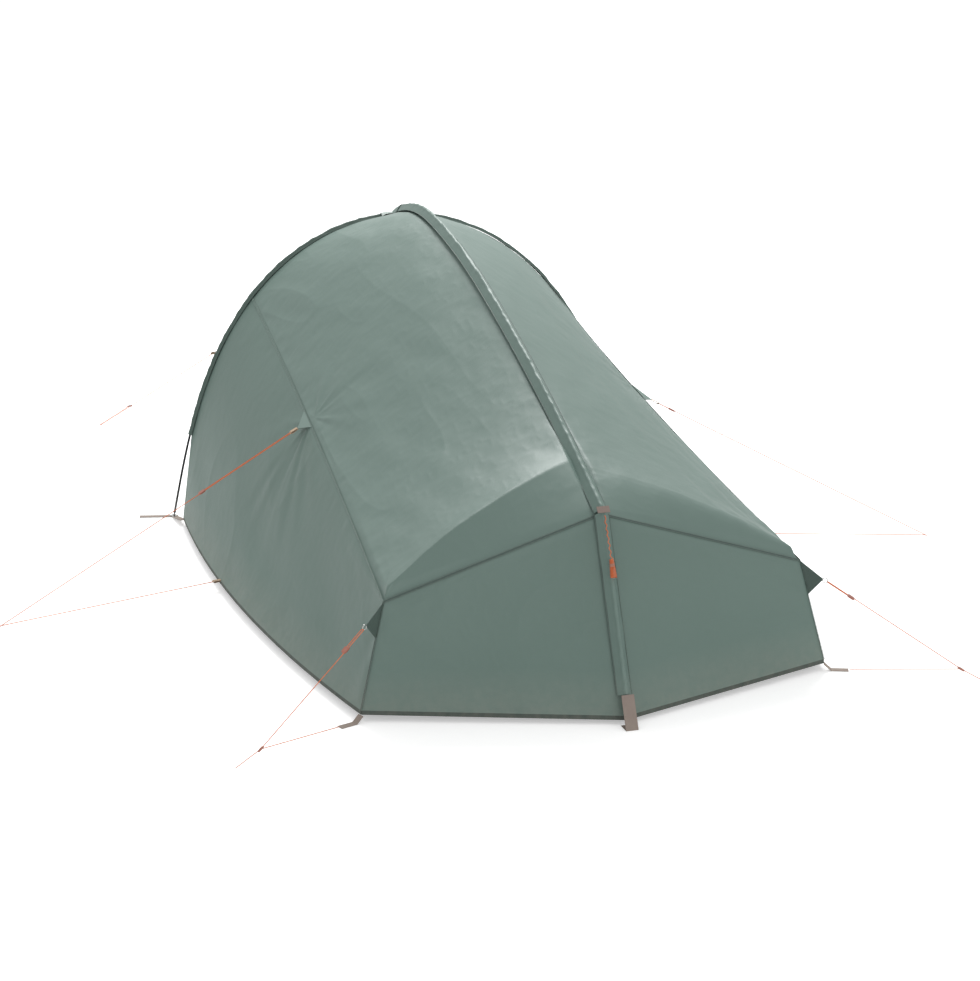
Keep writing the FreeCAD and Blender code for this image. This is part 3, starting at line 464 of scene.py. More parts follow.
def mesh_of(name, points, faces, uv, material):
    mesh = bpy.data.meshes.new(name)
    mesh.from_pydata([tuple(p) for p in points], [], faces)
    if uv is not None:
        layer = mesh.uv_layers.new(name="UVMap")
        picked = np.empty(len(mesh.loops), np.int32)
        mesh.loops.foreach_get("vertex_index", picked)
        layer.data.foreach_set("uv", np.asarray(uv, np.float32)[picked].ravel())
    mesh.polygons.foreach_set("use_smooth", [True] * len(mesh.polygons))
    made = bpy.data.objects.new(name, mesh)
    bpy.context.scene.collection.objects.link(made)
    mesh.materials.append(material)
    mesh.update()
    return made


def grid_faces(n, m, start=0):
    k = np.arange(n)[:, None] * (m + 1) + np.arange(m)[None] + start
    return np.stack([k, k + 1, k + m + 2, k + m + 1], -1).reshape(-1, 4)


def outward(grid):
    du, dv = np.gradient(grid, axis=0), np.gradient(grid, axis=1)
    normal = unit(np.cross(du, dv))
    middle = np.array([0.0, 0.2, 0.3])
    if np.sum(normal * (grid - middle)) < 0:
        normal = -normal
    return normal


def spans(grid):
    """How far each grid place is along and down the sheet, in metres, from its first corner."""
    x = np.zeros(grid.shape[:2])
    y = np.zeros(grid.shape[:2])
    x[1:] = np.cumsum(np.linalg.norm(np.diff(grid, axis=0), axis=2), axis=0)
    y[:, 1:] = np.cumsum(np.linalg.norm(np.diff(grid, axis=1), axis=2), axis=1)
    return x, y


def from_edges(x, y):
    """The distance to the nearest of the four seams, in metres."""
    return np.minimum(np.minimum(x, x[-1:] - x), np.minimum(y, y[:, -1:] - y))


def grid_piece(name, grid, material, body="tent"):
    """A plain piece over a grid, with its UV map in metres."""
    x, y = spans(grid)
    faces = grid_faces(grid.shape[0] - 1, grid.shape[1] - 1).tolist()
    made = mesh_of(name, grid.reshape(-1, 3), faces, np.stack([x, y], -1).reshape(-1, 2), material)
    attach(made, body)
    return made


def sheet(name, grid, push, material, replaces, body="tent"):
    """A cloth panel. Its flat size is the plain grid's, and the push then folds and stretches it."""
    x, y = spans(grid)
    n, m = grid.shape[0] - 1, grid.shape[1] - 1
    u = np.linspace(0, 1, n + 1)[:, None] * np.ones((1, m + 1))
    v = np.linspace(0, 1, m + 1)[None] * np.ones((n + 1, 1))
    fade = np.clip(from_edges(x, y) / fade_width, 0, 1)
    fade = fade * fade * (3 - 2 * fade)
    placed = grid + outward(grid) * (push(x, y, u, v) * fade)[..., None]
    uv = np.stack([x, y], -1).reshape(-1, 2)
    made = mesh_of(name, placed.reshape(-1, 3), grid_faces(n, m).tolist(), uv, material)
    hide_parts(replaces)
    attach(made, body)


def star(x, y, cx, cy, count, reach, amount, seed=0.0):
    """Pull lines that spread from a place where the cloth is drawn tight."""
    r = np.hypot(x - cx, y - cy)
    a = np.arctan2(y - cy, x - cx)
    wave = noise(a * count + seed, r * 3 + seed)
    return amount * wave * np.exp(-r / reach) * r / (r + 0.04)


def pucker(edge, along, amount, pitch=0.03, reach=0.035, seed=0.0):
    """Short gathers along a seam."""
    return amount * noise(along / pitch + seed, edge / 0.12 + seed) * np.exp(-edge / reach)


# %% [markdown]
# ## The fly's panels
# %% Fly
roof_steps, fold_step = 320, 26


def fold_place(v):
    """How far the left roof's fold lies from the foot seam, in metres, at each share down the roof."""
    return 0.245 * (1 - v) ** 0.9 + 0.010


def roof_shares(side):
    """Grid shares for a roof panel. On the left one column of the grid lies on the fold."""
    i = np.arange(roof_steps + 1)[:, None] / roof_steps
    v = np.linspace(0, 1, 161)[None] * np.ones((roof_steps + 1, 1))
    if side > 0:
        return (0.55 * i + 0.45 * i ** 2) * np.ones((1, 161)), v
    split = fold_step / roof_steps
    f = fold_place(v) / (2.50 - 0.10 * v)
    return np.where(i <= split, i / split * f, f + (i - split) / (1 - split) * (1 - f)), v


def roof_push(side):
    """The left roof has one straight fold from the ridge to the corner; the right one rolls over its seam."""
    def push(x, y, u, v):
        down = y[:, -1:].mean()
        shape = np.sin(np.pi * np.clip(v * 0.94 + 0.03, 0, 1))
        if side < 0:
            v = np.linspace(0, 1, x.shape[1])[None] * np.ones_like(x)
            fold_at = x[fold_step][None]
            ahead = x - fold_at
            behind = 0.45 * np.exp(-ahead / 0.10) + 0.55 * np.exp(-ahead / 0.50)
            fold = np.where(ahead < 0, np.clip(1 + ahead / fold_at, 0, 1), behind)
            out = 0.078 * fold * shape ** 0.7
            for gap, size in ((0.020, 0.0035), (0.038, 0.0022)):
                lower = np.clip(v * 2.4 - 0.5, 0, 1) * np.clip(4 - v * 4, 0, 1)
                out += size * np.exp(-((ahead - gap) / 0.006) ** 2) * lower
        else:
            roll = 0.19 * (1 - v) ** 0.8 + 0.02
            rise = np.sin(np.clip(x / roll, 0, 1) * np.pi / 2)
            out = 0.058 * rise * np.exp(-np.clip(x - roll, 0, None) / 0.45) * shape ** 0.6
            long = noise(y / 0.035 + 3.0 * u + 4, x / 0.9 + 5)
            out += 0.0050 * long * np.clip(v * 2 - 0.7, 0, 1) * np.exp(-((u - 0.38) / 0.30) ** 2)
        out -= 0.014 * np.sin(np.pi * u) ** 0.8 * np.sin(np.pi * v)
        out += star(x, y, 1.30, down, 5.0, 0.22, 0.006, 3.0 + side)
        out += star(x, y, 0.0, down, 4.0, 0.28, 0.006, 9.0 + side)
        out += 0.0016 * crease(x * 2.2 + y * 0.6 + side * 7, y * 9 - x * 1.2) * np.clip(v * 1.6, 0, 1)
        out += 0.0022 * noise(x * 5 + 11 * side, y * 11 - x * 3)
        out += 0.0007 * noise(x * 21 + 3, y * 17 + x * 5 + side)
        out += 0.0004 * crease(x * 40 + y * 9, y * 33 + side)
        out += pucker(y[:, -1:] - y, x, 0.0022, 0.035, 0.05, 2.0)
        out += pucker(y, x, 0.0016, 0.05, 0.03, 5.0)
        return out
    return push


def side_push(side):
    def push(x, y, u, v):
        out = -0.016 * np.sin(np.pi * u) * np.sin(np.pi * v)
        out += star(x, y, 1.30, 0.0, 6.0, 0.26, 0.009, 5.0 + side)
        out += star(x, y, 0.0, 0.0, 4.0, 0.35, 0.008, 1.0 + side)
        out += 0.0032 * noise(x * 2.4 + side, y * 7 + x)
        out += 0.0016 * crease(x * 4 + side * 5, y * 3 + x * 1.3)
        out += 0.0004 * crease(x * 36 + y * 9, y * 31 + side)
        out += pucker(y, x, 0.002, 0.04, 0.05, 1.0)
        out += pucker(y[:, -1:] - y, x, 0.003, 0.09, 0.06, 8.0)
        return out
    return push


def foot_push(side):
    def push(x, y, u, v):
        out = -0.012 * np.sin(np.pi * u) * np.sin(np.pi * v)
        out += 0.0035 * noise(x * 1.6 + side * 3, y * 7 + x * 1.5)
        out += 0.0014 * crease(x * 5 + 2 * side, y * 4)
        out += 0.0004 * crease(x * 36 + y * 9, y * 31 + side)
        near = np.exp(-np.hypot((x - x.max()) / 0.30, y / 0.16) ** 2)
        out += 0.0042 * noise(x * 2.5 + side, y * 26 - x * 9) * near
        out += star(x, y, x.max(), 0.0, 4.0, 0.22, 0.007, 2.0 + side)
        out += pucker(y, x, 0.003, 0.04, 0.05, 4.0)
        out += pucker(y[:, -1:] - y, x, 0.004, 0.08, 0.05, 6.0)
        return out
    return push


def plain_push(seed, amount=0.008):
    def push(x, y, u, v):
        out = -amount * np.sin(np.pi * u) * np.sin(np.pi * v)
        return out + 0.004 * noise(x * 3 + seed, y * 6) + 0.0025 * crease(x * 6, y * 5 + seed)
    return push


def hinge_line(side):
    return np.array([side_of(door_top, side), porch_hem(side, 0, door_share)[1]])


def zip_line(side):
    return np.array([side_of(zip_top, side), porch_hem(side, 0, zip_share)[1]])


def build_fly():
    for side, name in ((-1, "left"), (1, "right")):
        seam = side_seam(side)
        corner = np.array([side_of(corner_top, side), side_of(corner_foot, side)])
        ridge = spine_seam(elbow_s, crossing_s)
        foot_seam = np.array([ridge[0], side_of(corner_top, side)])
        leg = spine_seam(elbow_s, hem_back_s)
        foot_hem = np.array([leg[-1], side_of(corner_foot, side)])
        hem = arc(side_of(corner_foot, side), side_of(hem_wide, side), side_of(hem_head, side))
        hoop_edge = np.vstack([hoop_seam(side, seam_z, clip_z), side_of(hem_head, side)])
        roof = coons_at(ridge, seam, foot_seam, hoop_seam(side, None, seam_z), *roof_shares(side))
        sheet("fly_roof_" + name, roof, roof_push(side), fly_green, "roof_panel_" + name)
        # The side, foot and porch-side panels take the darker copy of the fly cloth, which is painted shade.
        flank = coons(seam, hem, corner, hoop_edge, 260, 110)
        sheet("fly_side_shaded_" + name, flank, side_push(side), fly_side_shaded, "side_panel_" + name)
        foot = coons(foot_seam, foot_hem, leg, corner, 140, 120)
        sheet("fly_foot_" + name, foot, foot_push(side), fly_side_shaded, "foot_panel_" + name)
        front = spine_seam(crossing_s, hem_front_s)
        top = np.array([front[0], side_of(zip_top, side)])
        strip = coons(front, zip_line(side), top, porch_hem(side, 1, zip_share), 120, 24)
        push = plain_push(3 + side, 0.003)
        sheet("porch_front_" + name, strip, push, fly_green, "porch_front_panel_" + name)
        edge = np.vstack([hoop_seam(side, None, clip_z), side_of(hem_head, side)])
        top = np.array([side_of(door_top, side), edge[0]])
        strip = coons(hinge_line(side), edge, top, porch_hem(side, door_share, 0), 140, 30)
        push = plain_push(6 + side, 0.004)
        sheet("porch_side_" + name, strip, push, fly_side_shaded, "porch_side_panel_" + name)
    doors = ((1, "tent", "porch_fixed_panel", 0.0001), (-1, "porch_door", "porch_door", 0.001))
    for side, body, node_name, gap in doors:
        (a, b), (d, c) = zip_line(side), hinge_line(side)
        ring = [a, b, c, d]
        a, b, c, d = (p + unit(ring[k - 1] - p) * gap + unit(ring[(k + 1) % 4] - p) * gap
                      for k, p in enumerate(ring))
        grid = coons([a, b], [d, c], [a, d], [b, c], 100, 80)
        sheet(node_name + "_cloth", grid, plain_push(12 + side, 0.006), fly_green, node_name, body)


build_fly()

# %% [markdown]
# ## Sleeves over the poles
# %% Sleeves
pole_r, sleeve_room, sleeve_layer = 0.00425, 0.0026, 0.001
wrap_r = pole_r + sleeve_room + sleeve_layer
sleeve_half, hoop_sleeve_half, sleeve_foot = 0.023, 0.013, 0.095
wrap_share, wrap_turn = 0.45, 0.83


def sleeve(name, track, s0, s1, half, drop, side, seed, material=fly_green):
    """A tunnel of cloth: round over the pole, then straight down to a flange on each side."""
    n, m = max(12, int((s1 - s0) / 0.006)), 28
    s = np.linspace(s0, s1, n + 1)
    place, way = track.at(s)
    out = np.cross(side, way)
    rows = []
    for w in np.linspace(-1, 1, m + 1):
        if abs(w) < wrap_share:
            a = math.pi / 2 * (1 - w / wrap_share * wrap_turn)
            off = (wrap_r * math.cos(a), wrap_r * math.sin(a))
        else:
            a = math.pi / 2 * (1 - wrap_turn * np.sign(w))
            near = (wrap_r * math.cos(a), wrap_r * math.sin(a))
            share = (abs(w) - wrap_share) / (1 - wrap_share)
            far = (np.sign(w) * half, -drop + 0.0016)
            off = (near[0] + (far[0] - near[0]) * share, near[1] + (far[1] - near[1]) * share)
        slack = 0.0016 * noise(s / 0.02 + seed, np.full_like(s, w * 2.2)) * (1 - w * w)
        slack += 0.0012 * noise(s / 0.06 + seed + 9, np.full_like(s, w * 1.2))
        rows.append(place + side * off[0] + out * (off[1] + slack[:, None]))
    made = grid_piece(name + "_cloth", np.stack(rows, 1), material)
    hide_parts(name)


clear = wrap_r + 0.006
elbow_gap = 0.004
hoop_gap = sleeve_half + sleeve_layer + 0.004
# Each run of sleeve on the spine: where it starts and where it ends.
spine_runs = {
    "leg": (spine.height(sleeve_foot), elbow_s - elbow_gap),
    "ridge": (elbow_s + elbow_gap, crossing_s - clear),
    "porch": (crossing_s + clear, spine.height(sleeve_foot, rising=False))}
for seed, (title, (s0, s1)) in enumerate(spine_runs.items(), 1):
    sleeve(title + "_sleeve", spine, s0, s1, sleeve_half, spine_drop, X, float(seed))
for side, name in ((-1, "left"), (1, "right")):
    s0, s1 = hoop.height(clip_z), hoop.length / 2 - hoop_gap
    if side > 0:
        s0, s1 = hoop.length - s1, hoop.length - s0
    sleeve("hoop_sleeve_" + name, hoop, s0, s1, hoop_sleeve_half, hoop_drop, hoop_side,
           5.0 + side, sleeve_dark)

# %% [markdown]
# ## The hood over the crossing
# %% Hood
def bump_profile(t, half, top):
    """One side of a sleeve's cross-section: round on top, then a straight flank to the seam."""
    t = np.abs(t)
    return top * np.clip(0.5 + 0.5 * np.cos(np.pi * np.clip(t / half, 0, 1)), 0, 1) ** 0.8


def hood():
    """One smooth cap: a round bump over each pole, blended where they cross."""
    a = np.linspace(-0.066, 0.066, 67)
    b = np.linspace(-0.078, 0.082, 81)
    rows = []
    for v in b:
        here, tangent = spine.at(crossing_s + v)
        above = np.cross(X, tangent)
        base = -spine_drop - a ** 2 / 1.5 + 0.0012
        over_spine = bump_profile(a, 0.030, 0.0295)
        over_hoop = bump_profile(np.full_like(a, v), 0.026, 0.0155)
        height = base + (over_spine ** 4 + over_hoop ** 4) ** 0.25
        height += 0.0012 * noise(a * 60 + 2, np.full_like(a, v * 45))
        rows.append(here + a[:, None] * X + height[:, None] * above)
    made = grid_piece("crossing_hood_cloth", np.stack(rows, 1), fly_green)
    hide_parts("crossing_hood")


hood()

# %% [markdown]
# ## Seams and stitches
# Every seam is a narrow folded strip with a row of stitches on each edge. The strips on the foot and corner
# seams and along the spine sleeves' edges are much darker than the cloth: painted shade for the shadow lines
# along them.
# The stitches are instances set along the strip by geometry nodes, then kept as a plain mesh.

# %% Seams
# seam_painted_shade is the fly's green at about half its brightness: painted shade for the dark lines along
# seams and sleeve edges.
seam_painted_shade = cloth_material("seam_painted_shade", (0.062, 0.096, 0.082), rough=0.6, pitch=0.0014, grid=0.01, bump=0.6)


def outside(p):
    middle = np.stack([np.zeros(len(p)), np.clip(p[:, 1], -0.9, 0.9), np.full(len(p), 0.3)], 1)
    return unit(p - middle)


def ribbon(name, path, width, lift, material, bow=0.0006, normal=None):
    """A narrow folded strip along a seam. It gives back the two rows where its stitches go."""
    normal = outside(path) if normal is None else normal
    way = unit(np.gradient(path, axis=0))
    aside = unit(np.cross(way, normal))
    out = unit(np.cross(aside, way))
    rows = []
    for t in np.linspace(-1, 1, 7):
        rows.append(path + aside * (t * width / 2) + out * (lift + bow * (1 - t * t)))
    grid_piece(name, np.stack(rows, 1), material)
    return [rows[1] + out * 0.0004, rows[-2] + out * 0.0004]


def stitch_nodes():
    tree = bpy.data.node_groups.new("stitches", "GeometryNodeTree")
    tree.interface.new_socket("Geometry", in_out="INPUT", socket_type="NodeSocketGeometry")
    for title, value in (("Pitch", 0.004), ("Length", 0.0028), ("Radius", 0.0004)):
        tree.interface.new_socket(title, in_out="INPUT", socket_type="NodeSocketFloat").default_value = value
    tree.interface.new_socket("Thread", in_out="INPUT", socket_type="NodeSocketMaterial")
    tree.interface.new_socket("Geometry", in_out="OUTPUT", socket_type="NodeSocketGeometry")
    given, result = tree.nodes.new("NodeGroupInput"), tree.nodes.new("NodeGroupOutput")
    to_curve = tree.nodes.new("GeometryNodeMeshToCurve")
    again = tree.nodes.new("GeometryNodeResampleCurve")
    again.mode = "LENGTH"
    one = tree.nodes.new("GeometryNodeMeshCylinder")
    one.inputs["Vertices"].default_value = 5
    put = tree.nodes.new("GeometryNodeInstanceOnPoints")
    tangent = tree.nodes.new("GeometryNodeInputTangent")
    turn = tree.nodes.new("FunctionNodeAlignRotationToVector")
    turn.axis = "Z"
    real = tree.nodes.new("GeometryNodeRealizeInstances")
    paint = tree.nodes.new("GeometryNodeSetMaterial")
    link = tree.links.new
    link(given.outputs["Geometry"], to_curve.inputs[0])
    link(to_curve.outputs[0], again.inputs["Curve"])
    link(given.outputs["Pitch"], again.inputs["Length"])
    link(given.outputs["Length"], one.inputs["Depth"])
    link(given.outputs["Radius"], one.inputs["Radius"])
    link(again.outputs[0], put.inputs["Points"])
    link(one.outputs["Mesh"], put.inputs["Instance"])
    link(tangent.outputs[0], turn.inputs["Vector"])
    link(turn.outputs[0], put.inputs["Rotation"])
    link(put.outputs[0], real.inputs[0])
    link(real.outputs[0], paint.inputs["Geometry"])
    link(given.outputs["Thread"], paint.inputs["Material"])
    link(paint.outputs[0], result.inputs[0])
    return tree


stitch_tree = stitch_nodes()


def socket(tree, title):
    return next(i.identifier for i in tree.interface.items_tree if i.name == title and i.in_out == "INPUT")


def stitches(name, rows, pitch=0.004, length=0.0028, radius=0.0004, material=thread_pale):
    """Short rods set along rows of points, kept as one plain mesh."""
    points, edges = [], []
    for row in rows:
        start = len(points)
        points += [tuple(p) for p in row]
        edges += [(start + k, start + k + 1) for k in range(len(row) - 1)]
    mesh = bpy.data.meshes.new(name)
    mesh.from_pydata(points, edges, [])
    line = bpy.data.objects.new(name + "_line", mesh)
    bpy.context.scene.collection.objects.link(line)
    modifier = line.modifiers.new("stitches", "NODES")
    modifier.node_group = stitch_tree
    modifier[socket(stitch_tree, "Pitch")] = pitch
    modifier[socket(stitch_tree, "Length")] = length
    modifier[socket(stitch_tree, "Radius")] = radius
    modifier[socket(stitch_tree, "Thread")] = material
    bpy.context.view_layer.update()
    plain = bpy.data.meshes.new_from_object(line.evaluated_get(bpy.context.evaluated_depsgraph_get()))
    bpy.data.objects.remove(line)
    made = bpy.data.objects.new(name, plain)
    bpy.context.scene.collection.objects.link(made)
    plain.name = name
    flat_uv(plain)
    if not plain.materials:
        plain.materials.append(material)
    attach(made, "tent")


def flat_uv(mesh):
    """A UV map in metres, laid out on the two longest directions."""
    co = np.zeros(len(mesh.vertices) * 3, np.float32)
    mesh.vertices.foreach_get("co", co)
    co = co.reshape(-1, 3)
    axes = np.argsort(-(co.max(0) - co.min(0)))[:2]
    layer = mesh.uv_layers[0] if mesh.uv_layers else mesh.uv_layers.new(name="UVMap")
    picked = np.empty(len(mesh.loops), np.int32)
    mesh.loops.foreach_get("vertex_index", picked)
    layer.data.foreach_set("uv", co[picked][:, axes].ravel())


def sleeve_edge(track, s0, s1, half, drop, side, way_side, n=300):
    place, way = track.at(np.linspace(s0, s1, n + 1))
    out = np.cross(side, way)
    return place - out * (drop - 0.0022) + side * (half + 0.001) * way_side, out


def build_seams():
    for side, name in ((-1, "left"), (1, "right")):
        seam = even(side_seam(side), 300)
        corner = even([side_of(corner_top, side), side_of(corner_foot, side)], 60)
        foot_seam = even([spine_seam(elbow_s, elbow_s + 0.001)[0], side_of(corner_top, side)], 120)
        rows = []
        strips = (("side", seam, 0.009), ("corner", corner, 0.010), ("foot", foot_seam, 0.010))
        for title, path, width in strips:
            # The side seam's strip has the side panels' darker cloth, which is painted shade. The foot and
            # corner strips carry painted seam shade.
            material = fly_side_shaded if title == "side" else seam_painted_shade
            rows += ribbon("seam_" + title + "_" + name, path, width, 0.0009, material)
        stitches("stitches_" + name, rows)
    rows = []
    for title, (s0, s1) in spine_runs.items():
        for way_side, word in ((-1, "left"), (1, "right")):
            # A dark strip on each edge of every spine sleeve: painted shade where the sleeve meets the roof.
            path, out = sleeve_edge(spine, s0, s1, 0.021, spine_drop, X, way_side)
            edges = ribbon("sleeve_edge_" + title + "_" + word, path, 0.005, 0.0006, seam_painted_shade, normal=out)
            rows.append(edges[0] if way_side < 0 else edges[1])
    stitches("stitches_sleeves", rows, pitch=0.0045)


build_seams()

# %% [markdown]
# ## Guy lines
# Each cord follows the same places as the frame's cord, rounded by a NURBS curve.

# %% Cords
guy_d = 0.0026
# Each line's points, the same as the frame's, its real length, and what is on its far end.
guys = {
    "corner_guy_left": ([(-0.828, -1.2083, 0.2531), (-0.7597, -1.1668, 0.3006), (-0.7567, -1.1651, 0.3026),
                         (-0.7526, -1.1719, 0.3026), (-0.7555, -1.1737, 0.3006), (-0.818, -1.2116, 0.2571),
                         (-0.84, -1.225, 0.2418), (-1.121, -1.391, 0.048), (-1.2, -1.401, 0.0015)],
                        0.696, "bare"),
    "corner_guy_right": ([(0.8239, -1.2152, 0.2531), (0.7555, -1.1737, 0.3006), (0.7526, -1.1719, 0.3026),
                          (0.7567, -1.1651, 0.3026), (0.7597, -1.1668, 0.3006), (0.8221, -1.2048, 0.2571),
                          (0.8442, -1.2182, 0.2418), (1.121, -1.391, 0.048), (1.2, -1.401, 0.0015)],
                         0.696, "bare"),
    "corner_return_left": ([(-0.8364, -1.1798, 0.0044), (-1.1186, -1.3892, 0.0476)], 0.354, "knot"),
    "corner_return_right": ([(0.8364, -1.1798, 0.0044), (1.1186, -1.3892, 0.0476)], 0.354, "knot"),
    "side_guy_left": ([(-1.0017, 0.1298, 0.3847), (-0.6781, 0.1593, 0.5617), (-0.6746, 0.1596, 0.5636),
                       (-0.6739, 0.1516, 0.5636), (-0.6774, 0.1513, 0.5617), (-0.994, 0.1225, 0.3886),
                       (-1.0202, 0.1201, 0.3742), (-1.7047, 0.059, 0.0015), (-1.7086, 0.0584, 0.0015),
                       (-1.7033, 0.0644, 0.0015), (-1.6993, 0.065, 0.0015), (-0.9475, 0.21, 0.0358)],
                      2.342, "object"),
    "side_guy_right": ([(0.7298, 0.1465, 0.533), (0.6774, 0.1513, 0.5617), (0.6739, 0.1516, 0.5636),
                        (0.6746, 0.1596, 0.5636), (0.6781, 0.1593, 0.5617), (0.7236, 0.1551, 0.5369),
                        (0.7498, 0.1527, 0.5225), (1.7048, 0.0591, 0.0015), (1.7087, 0.0585, 0.0015),
                        (1.7032, 0.0643, 0.0015), (1.6992, 0.0649, 0.0015), (0.9475, 0.21, 0.0358)],
                       2.032, "object"),
    "hoop_guy_left": ([(-0.7356, 1.2281, 0.6047), (-0.8976, 2.1384, 0.1986), (-0.9074, 2.1924, 0.1744),
                       (-0.9774, 2.5761, 0.0031), (-0.9781, 2.5797, 0.0015), (-0.9859, 2.5783, 0.0015),
                       (-0.9853, 2.5747, 0.0031), (-0.914, 2.1838, 0.1777)], 1.946, "knot"),
    "hoop_guy_right": ([(0.7356, 1.2281, 0.6047), (0.9054, 2.1369, 0.1986), (0.9153, 2.191, 0.1744),
                        (0.9853, 2.5747, 0.0031), (0.9859, 2.5783, 0.0015), (0.9781, 2.5797, 0.0015),
                        (0.9774, 2.5761, 0.0031), (0.9061, 2.1852, 0.1777)], 1.946, "knot"),
}


def rope(name, points, radius, material, body="tent"):
    """A NURBS cord: each corner is doubled up, so that the curve keeps to the straight runs."""
    p = [np.asarray(q, float) for q in points]
    row = [p[0]]
    for k in range(1, len(p)):
        gap = np.linalg.norm(p[k] - p[k - 1])
        near = min(0.002, gap * 0.3)
        line = (p[k] - p[k - 1]) / gap
        if gap > 0.02:
            row += [p[k - 1] + line * near, p[k] - line * near]
        row.append(p[k])
    curve = bpy.data.curves.new(name, "CURVE")
    curve.dimensions = "3D"
    spline = curve.splines.new("NURBS")
    spline.points.add(len(row) - 1)
    for point, place in zip(spline.points, row):
        point.co = (*place, 1)
    spline.order_u = 3
    spline.use_endpoint_u = True
    spline.resolution_u = 6
    curve.bevel_depth = radius
    curve.bevel_resolution = 3
    curve.use_fill_caps = True
    made = bpy.data.objects.new(name, curve)
    bpy.context.scene.collection.objects.link(made)
    curve.materials.append(material)
    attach(made, body)
    return made


def build_cords():
    for cad, (points, long, end) in guys.items():
        made = rope(cad + "_cord", points, guy_d / 2, cord_orange)
        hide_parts(cad)


def small_turn(name, profile, axis_points, material, body, sides=20):
    """A turned piece: rings of the given radii round a straight axis."""
    a, b = (np.asarray(p, float) for p in axis_points)
    way = unit(b - a)
    u = unit(np.cross(way, [0.3, 0.2, 1.0]))
    w = np.cross(way, u)
    t = np.linspace(0, 2 * math.pi, sides, endpoint=False)
    points, faces = [], []
    for share, r in profile:
        centre = a + (b - a) * share
        points += list(centre + r * (np.cos(t)[:, None] * u + np.sin(t)[:, None] * w))
    for k in range(len(profile) - 1):
        for j in range(sides):
            m = (j + 1) % sides
            faces.append((k * sides + j, k * sides + m, (k + 1) * sides + m, (k + 1) * sides + j))
    faces.append(tuple(range(sides))[::-1])
    faces.append(tuple(range((len(profile) - 1) * sides, len(profile) * sides)))
    made = mesh_of(name, points, faces, None, material)
    flat_uv(made.data)
    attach(made, body)
    return made


def stowed():
    """The spare line: folded in a zigzag down from the tab, then wound into a bell-shaped bundle."""
    low, way = spine.at(elbow_s - 0.150)
    up = np.cross(X, way)
    top = np.array([0.0, -1.1935, 0.5975])
    run = low + up * (wrap_r + 0.0135)
    points = [top]
    count = 13
    for k in range(1, count):
        points.append(top + (run - top) * (k / count) + X * (0.0046 if k % 2 else -0.0046))
    turns, per = 17, 12
    for k in range(turns * per + 1):
        share = k / (turns * per)
        a = 2 * math.pi * k / per
        r = 0.0053 + 0.0042 * share ** 0.8
        points.append(run - way * (0.002 + 0.056 * share) + r * (math.cos(a) * X + math.sin(a) * up))
    made = rope("stowed_line_cord", points, guy_d / 2, cord_orange, body="stowed_line")
    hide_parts("stowed_line")
    band = small_turn("stowed_line_band", [(0, 0.0070), (0.1, 0.0078), (0.9, 0.0082), (1, 0.0074)],
                      (run - way * 0.016, run - way * 0.027), brown_web, "stowed_line")


def toggles():
    """A small red toggle where each corner's two lines meet."""
    for side, name in ((-1, "left"), (1, "right")):
        middle = np.array([side * 1.121, -1.391, 0.048])
        way = unit([side * 0.62, -0.366, -0.40])
        profile = [(0, 0.0020), (0.08, 0.0034), (0.5, 0.0040), (0.92, 0.0034), (1, 0.0020)]
        small_turn("corner_toggle_" + name, profile,
                   (middle - way * 0.012, middle + way * 0.012), slider_red, "tent")


build_cords()
stowed()
toggles()

# %% [markdown]
# ## Materials for the pieces that stay as the frame made them
# %% Kept pieces
kept = {
    "hoop_pole": pole_black, "spine_back_pole": pole_black, "spine_front_pole": pole_black,
    "spine_leg_pole": pole_black, "spine_elbow": alloy, "pole_spigots": alloy, "pole_tips": tip_black,
    "groundsheet": floor_dark, "tub_walls": floor_dark, "inner_side_left": inner_pale,
    "inner_side_right": inner_pale, "inner_foot_wall": inner_pale, "inner_head_wall": inner_pale,
    "inner_door": inner_net, "inner_hangers": brown_web, "foot_pockets": brown_web, "foot_rings": steel,
    "hoop_webbing": brown_web,
    "corner_webbing": brown_web, "corner_rings": steel, "guy_loops": tan_web, "spine_tab": brown_web,
    "hem_tape": tape_dark, "corner_flaps": fly_dark, "mid_flaps": fly_green, "zip_chain": zip_black,
    "zip_slider": steel}
for name in ("corner", "side", "hoop"):
    for end in ("left", "right"):
        kept[name + "_slider_" + end] = slider_red


for name, material in kept.items():
    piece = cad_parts[name]
    piece.data.materials.clear()
    piece.data.materials.append(material)
    flat_uv(piece.data)

# %% [markdown]
# ## Zip teeth
# %% Zip
a, b = zip_line(-1)[1], zip_line(-1)[0]
line = unit(b - a)
face = unit(np.cross(line, hinge_line(-1)[1] - a))
face = face if face[0] < 0 else -face
aside = unit(np.cross(line, face))
aside = aside if aside[0] > 0 else -aside
middle = np.array([a + line * 0.008, b - line * 0.012]) + aside * 0.004 + face * 0.0042
stitches("zip_teeth", [even(middle, 200)], 0.0022, 0.0016, 0.0013, zip_black)

# %% [markdown]
# ## Floor, light and camera
# %% Stage
world_strength = 0.74
floor_glow = 0.42
lamps = [("key", (1.5, 5.0, 6.5), 4.0, 600.0), ("front", (2.0, -9.0, 2.2), 5.0, 110.0)]


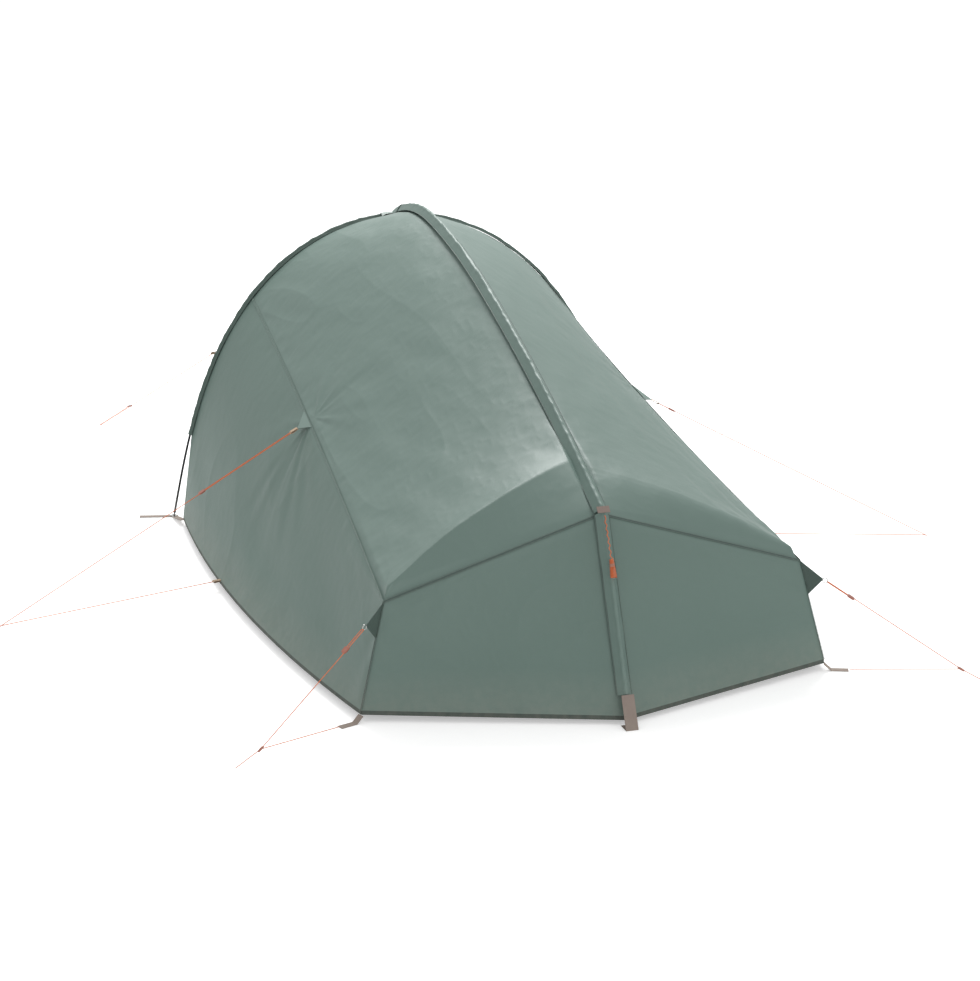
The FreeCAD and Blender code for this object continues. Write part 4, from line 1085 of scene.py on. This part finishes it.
def stage():
    bpy.ops.mesh.primitive_plane_add(size=60, location=(0, 0, -0.0005))
    floor = bpy.context.object
    floor.name = "floor"
    mat = bpy.data.materials.new("floor_white")
    mat.use_nodes = True
    tree = mat.node_tree
    shader = tree.nodes["Principled BSDF"]
    shader.inputs["Base Color"].default_value = (0.86, 0.86, 0.86, 1)
    shader.inputs["Roughness"].default_value = 0.9
    path = tree.nodes.new("ShaderNodeLightPath")
    glow = calc(tree, "MULTIPLY", path.outputs["Is Camera Ray"], floor_glow)
    shader.inputs["Emission Color"].default_value = (1, 1, 1, 1)
    tree.links.new(glow, shader.inputs["Emission Strength"])
    floor.data.materials.append(mat)
    world = bpy.data.worlds.new("world")
    bpy.context.scene.world = world
    world.use_nodes = True
    tree = world.node_tree
    tree.nodes["Background"].inputs[0].default_value = (1, 1, 1, 1)
    tree.nodes["Background"].inputs[1].default_value = world_strength
    seen = tree.nodes.new("ShaderNodeBackground")
    seen.inputs[0].default_value = (1, 1, 1, 1)
    seen.inputs[1].default_value = 1.0
    path = tree.nodes.new("ShaderNodeLightPath")
    mix = tree.nodes.new("ShaderNodeMixShader")
    tree.links.new(path.outputs["Is Camera Ray"], mix.inputs[0])
    tree.links.new(tree.nodes["Background"].outputs[0], mix.inputs[1])
    tree.links.new(seen.outputs[0], mix.inputs[2])
    tree.links.new(mix.outputs[0], tree.nodes["World Output"].inputs[0])
    for name, place, size, power in lamps:
        light = bpy.data.lights.new(name, "AREA")
        light.size = size
        light.energy = power
        lamp = bpy.data.objects.new(name, light)
        bpy.context.scene.collection.objects.link(lamp)
        lamp.location = place
        lamp.rotation_mode = "QUATERNION"
        lamp.rotation_quaternion = (Vector((0, 0, 0.3)) - Vector(place)).to_track_quat("-Z", "Y")


def camera():
    data = bpy.data.cameras.new("camera")
    data.sensor_width = 36
    data.lens = 96.40
    cam = bpy.data.objects.new("camera", data)
    bpy.context.scene.collection.objects.link(cam)
    cam.location = (-2.528, -8.396, 2.921)
    a, e, roll = math.radians(-16.731), math.radians(16.391), math.radians(-0.227)
    way = Vector((-math.sin(a) * math.cos(e), math.cos(a) * math.cos(e), -math.sin(e)))
    turn = way.to_track_quat("-Z", "Y").to_matrix()
    cam.rotation_mode = "QUATERNION"
    cam.rotation_quaternion = (turn @ Matrix.Rotation(roll, 3, Vector((0, 0, 1)))).to_quaternion()
    data.clip_end = 100
    bpy.context.scene.camera = cam


stage()
camera()
bpy.context.scene.view_settings.view_transform = "Standard"
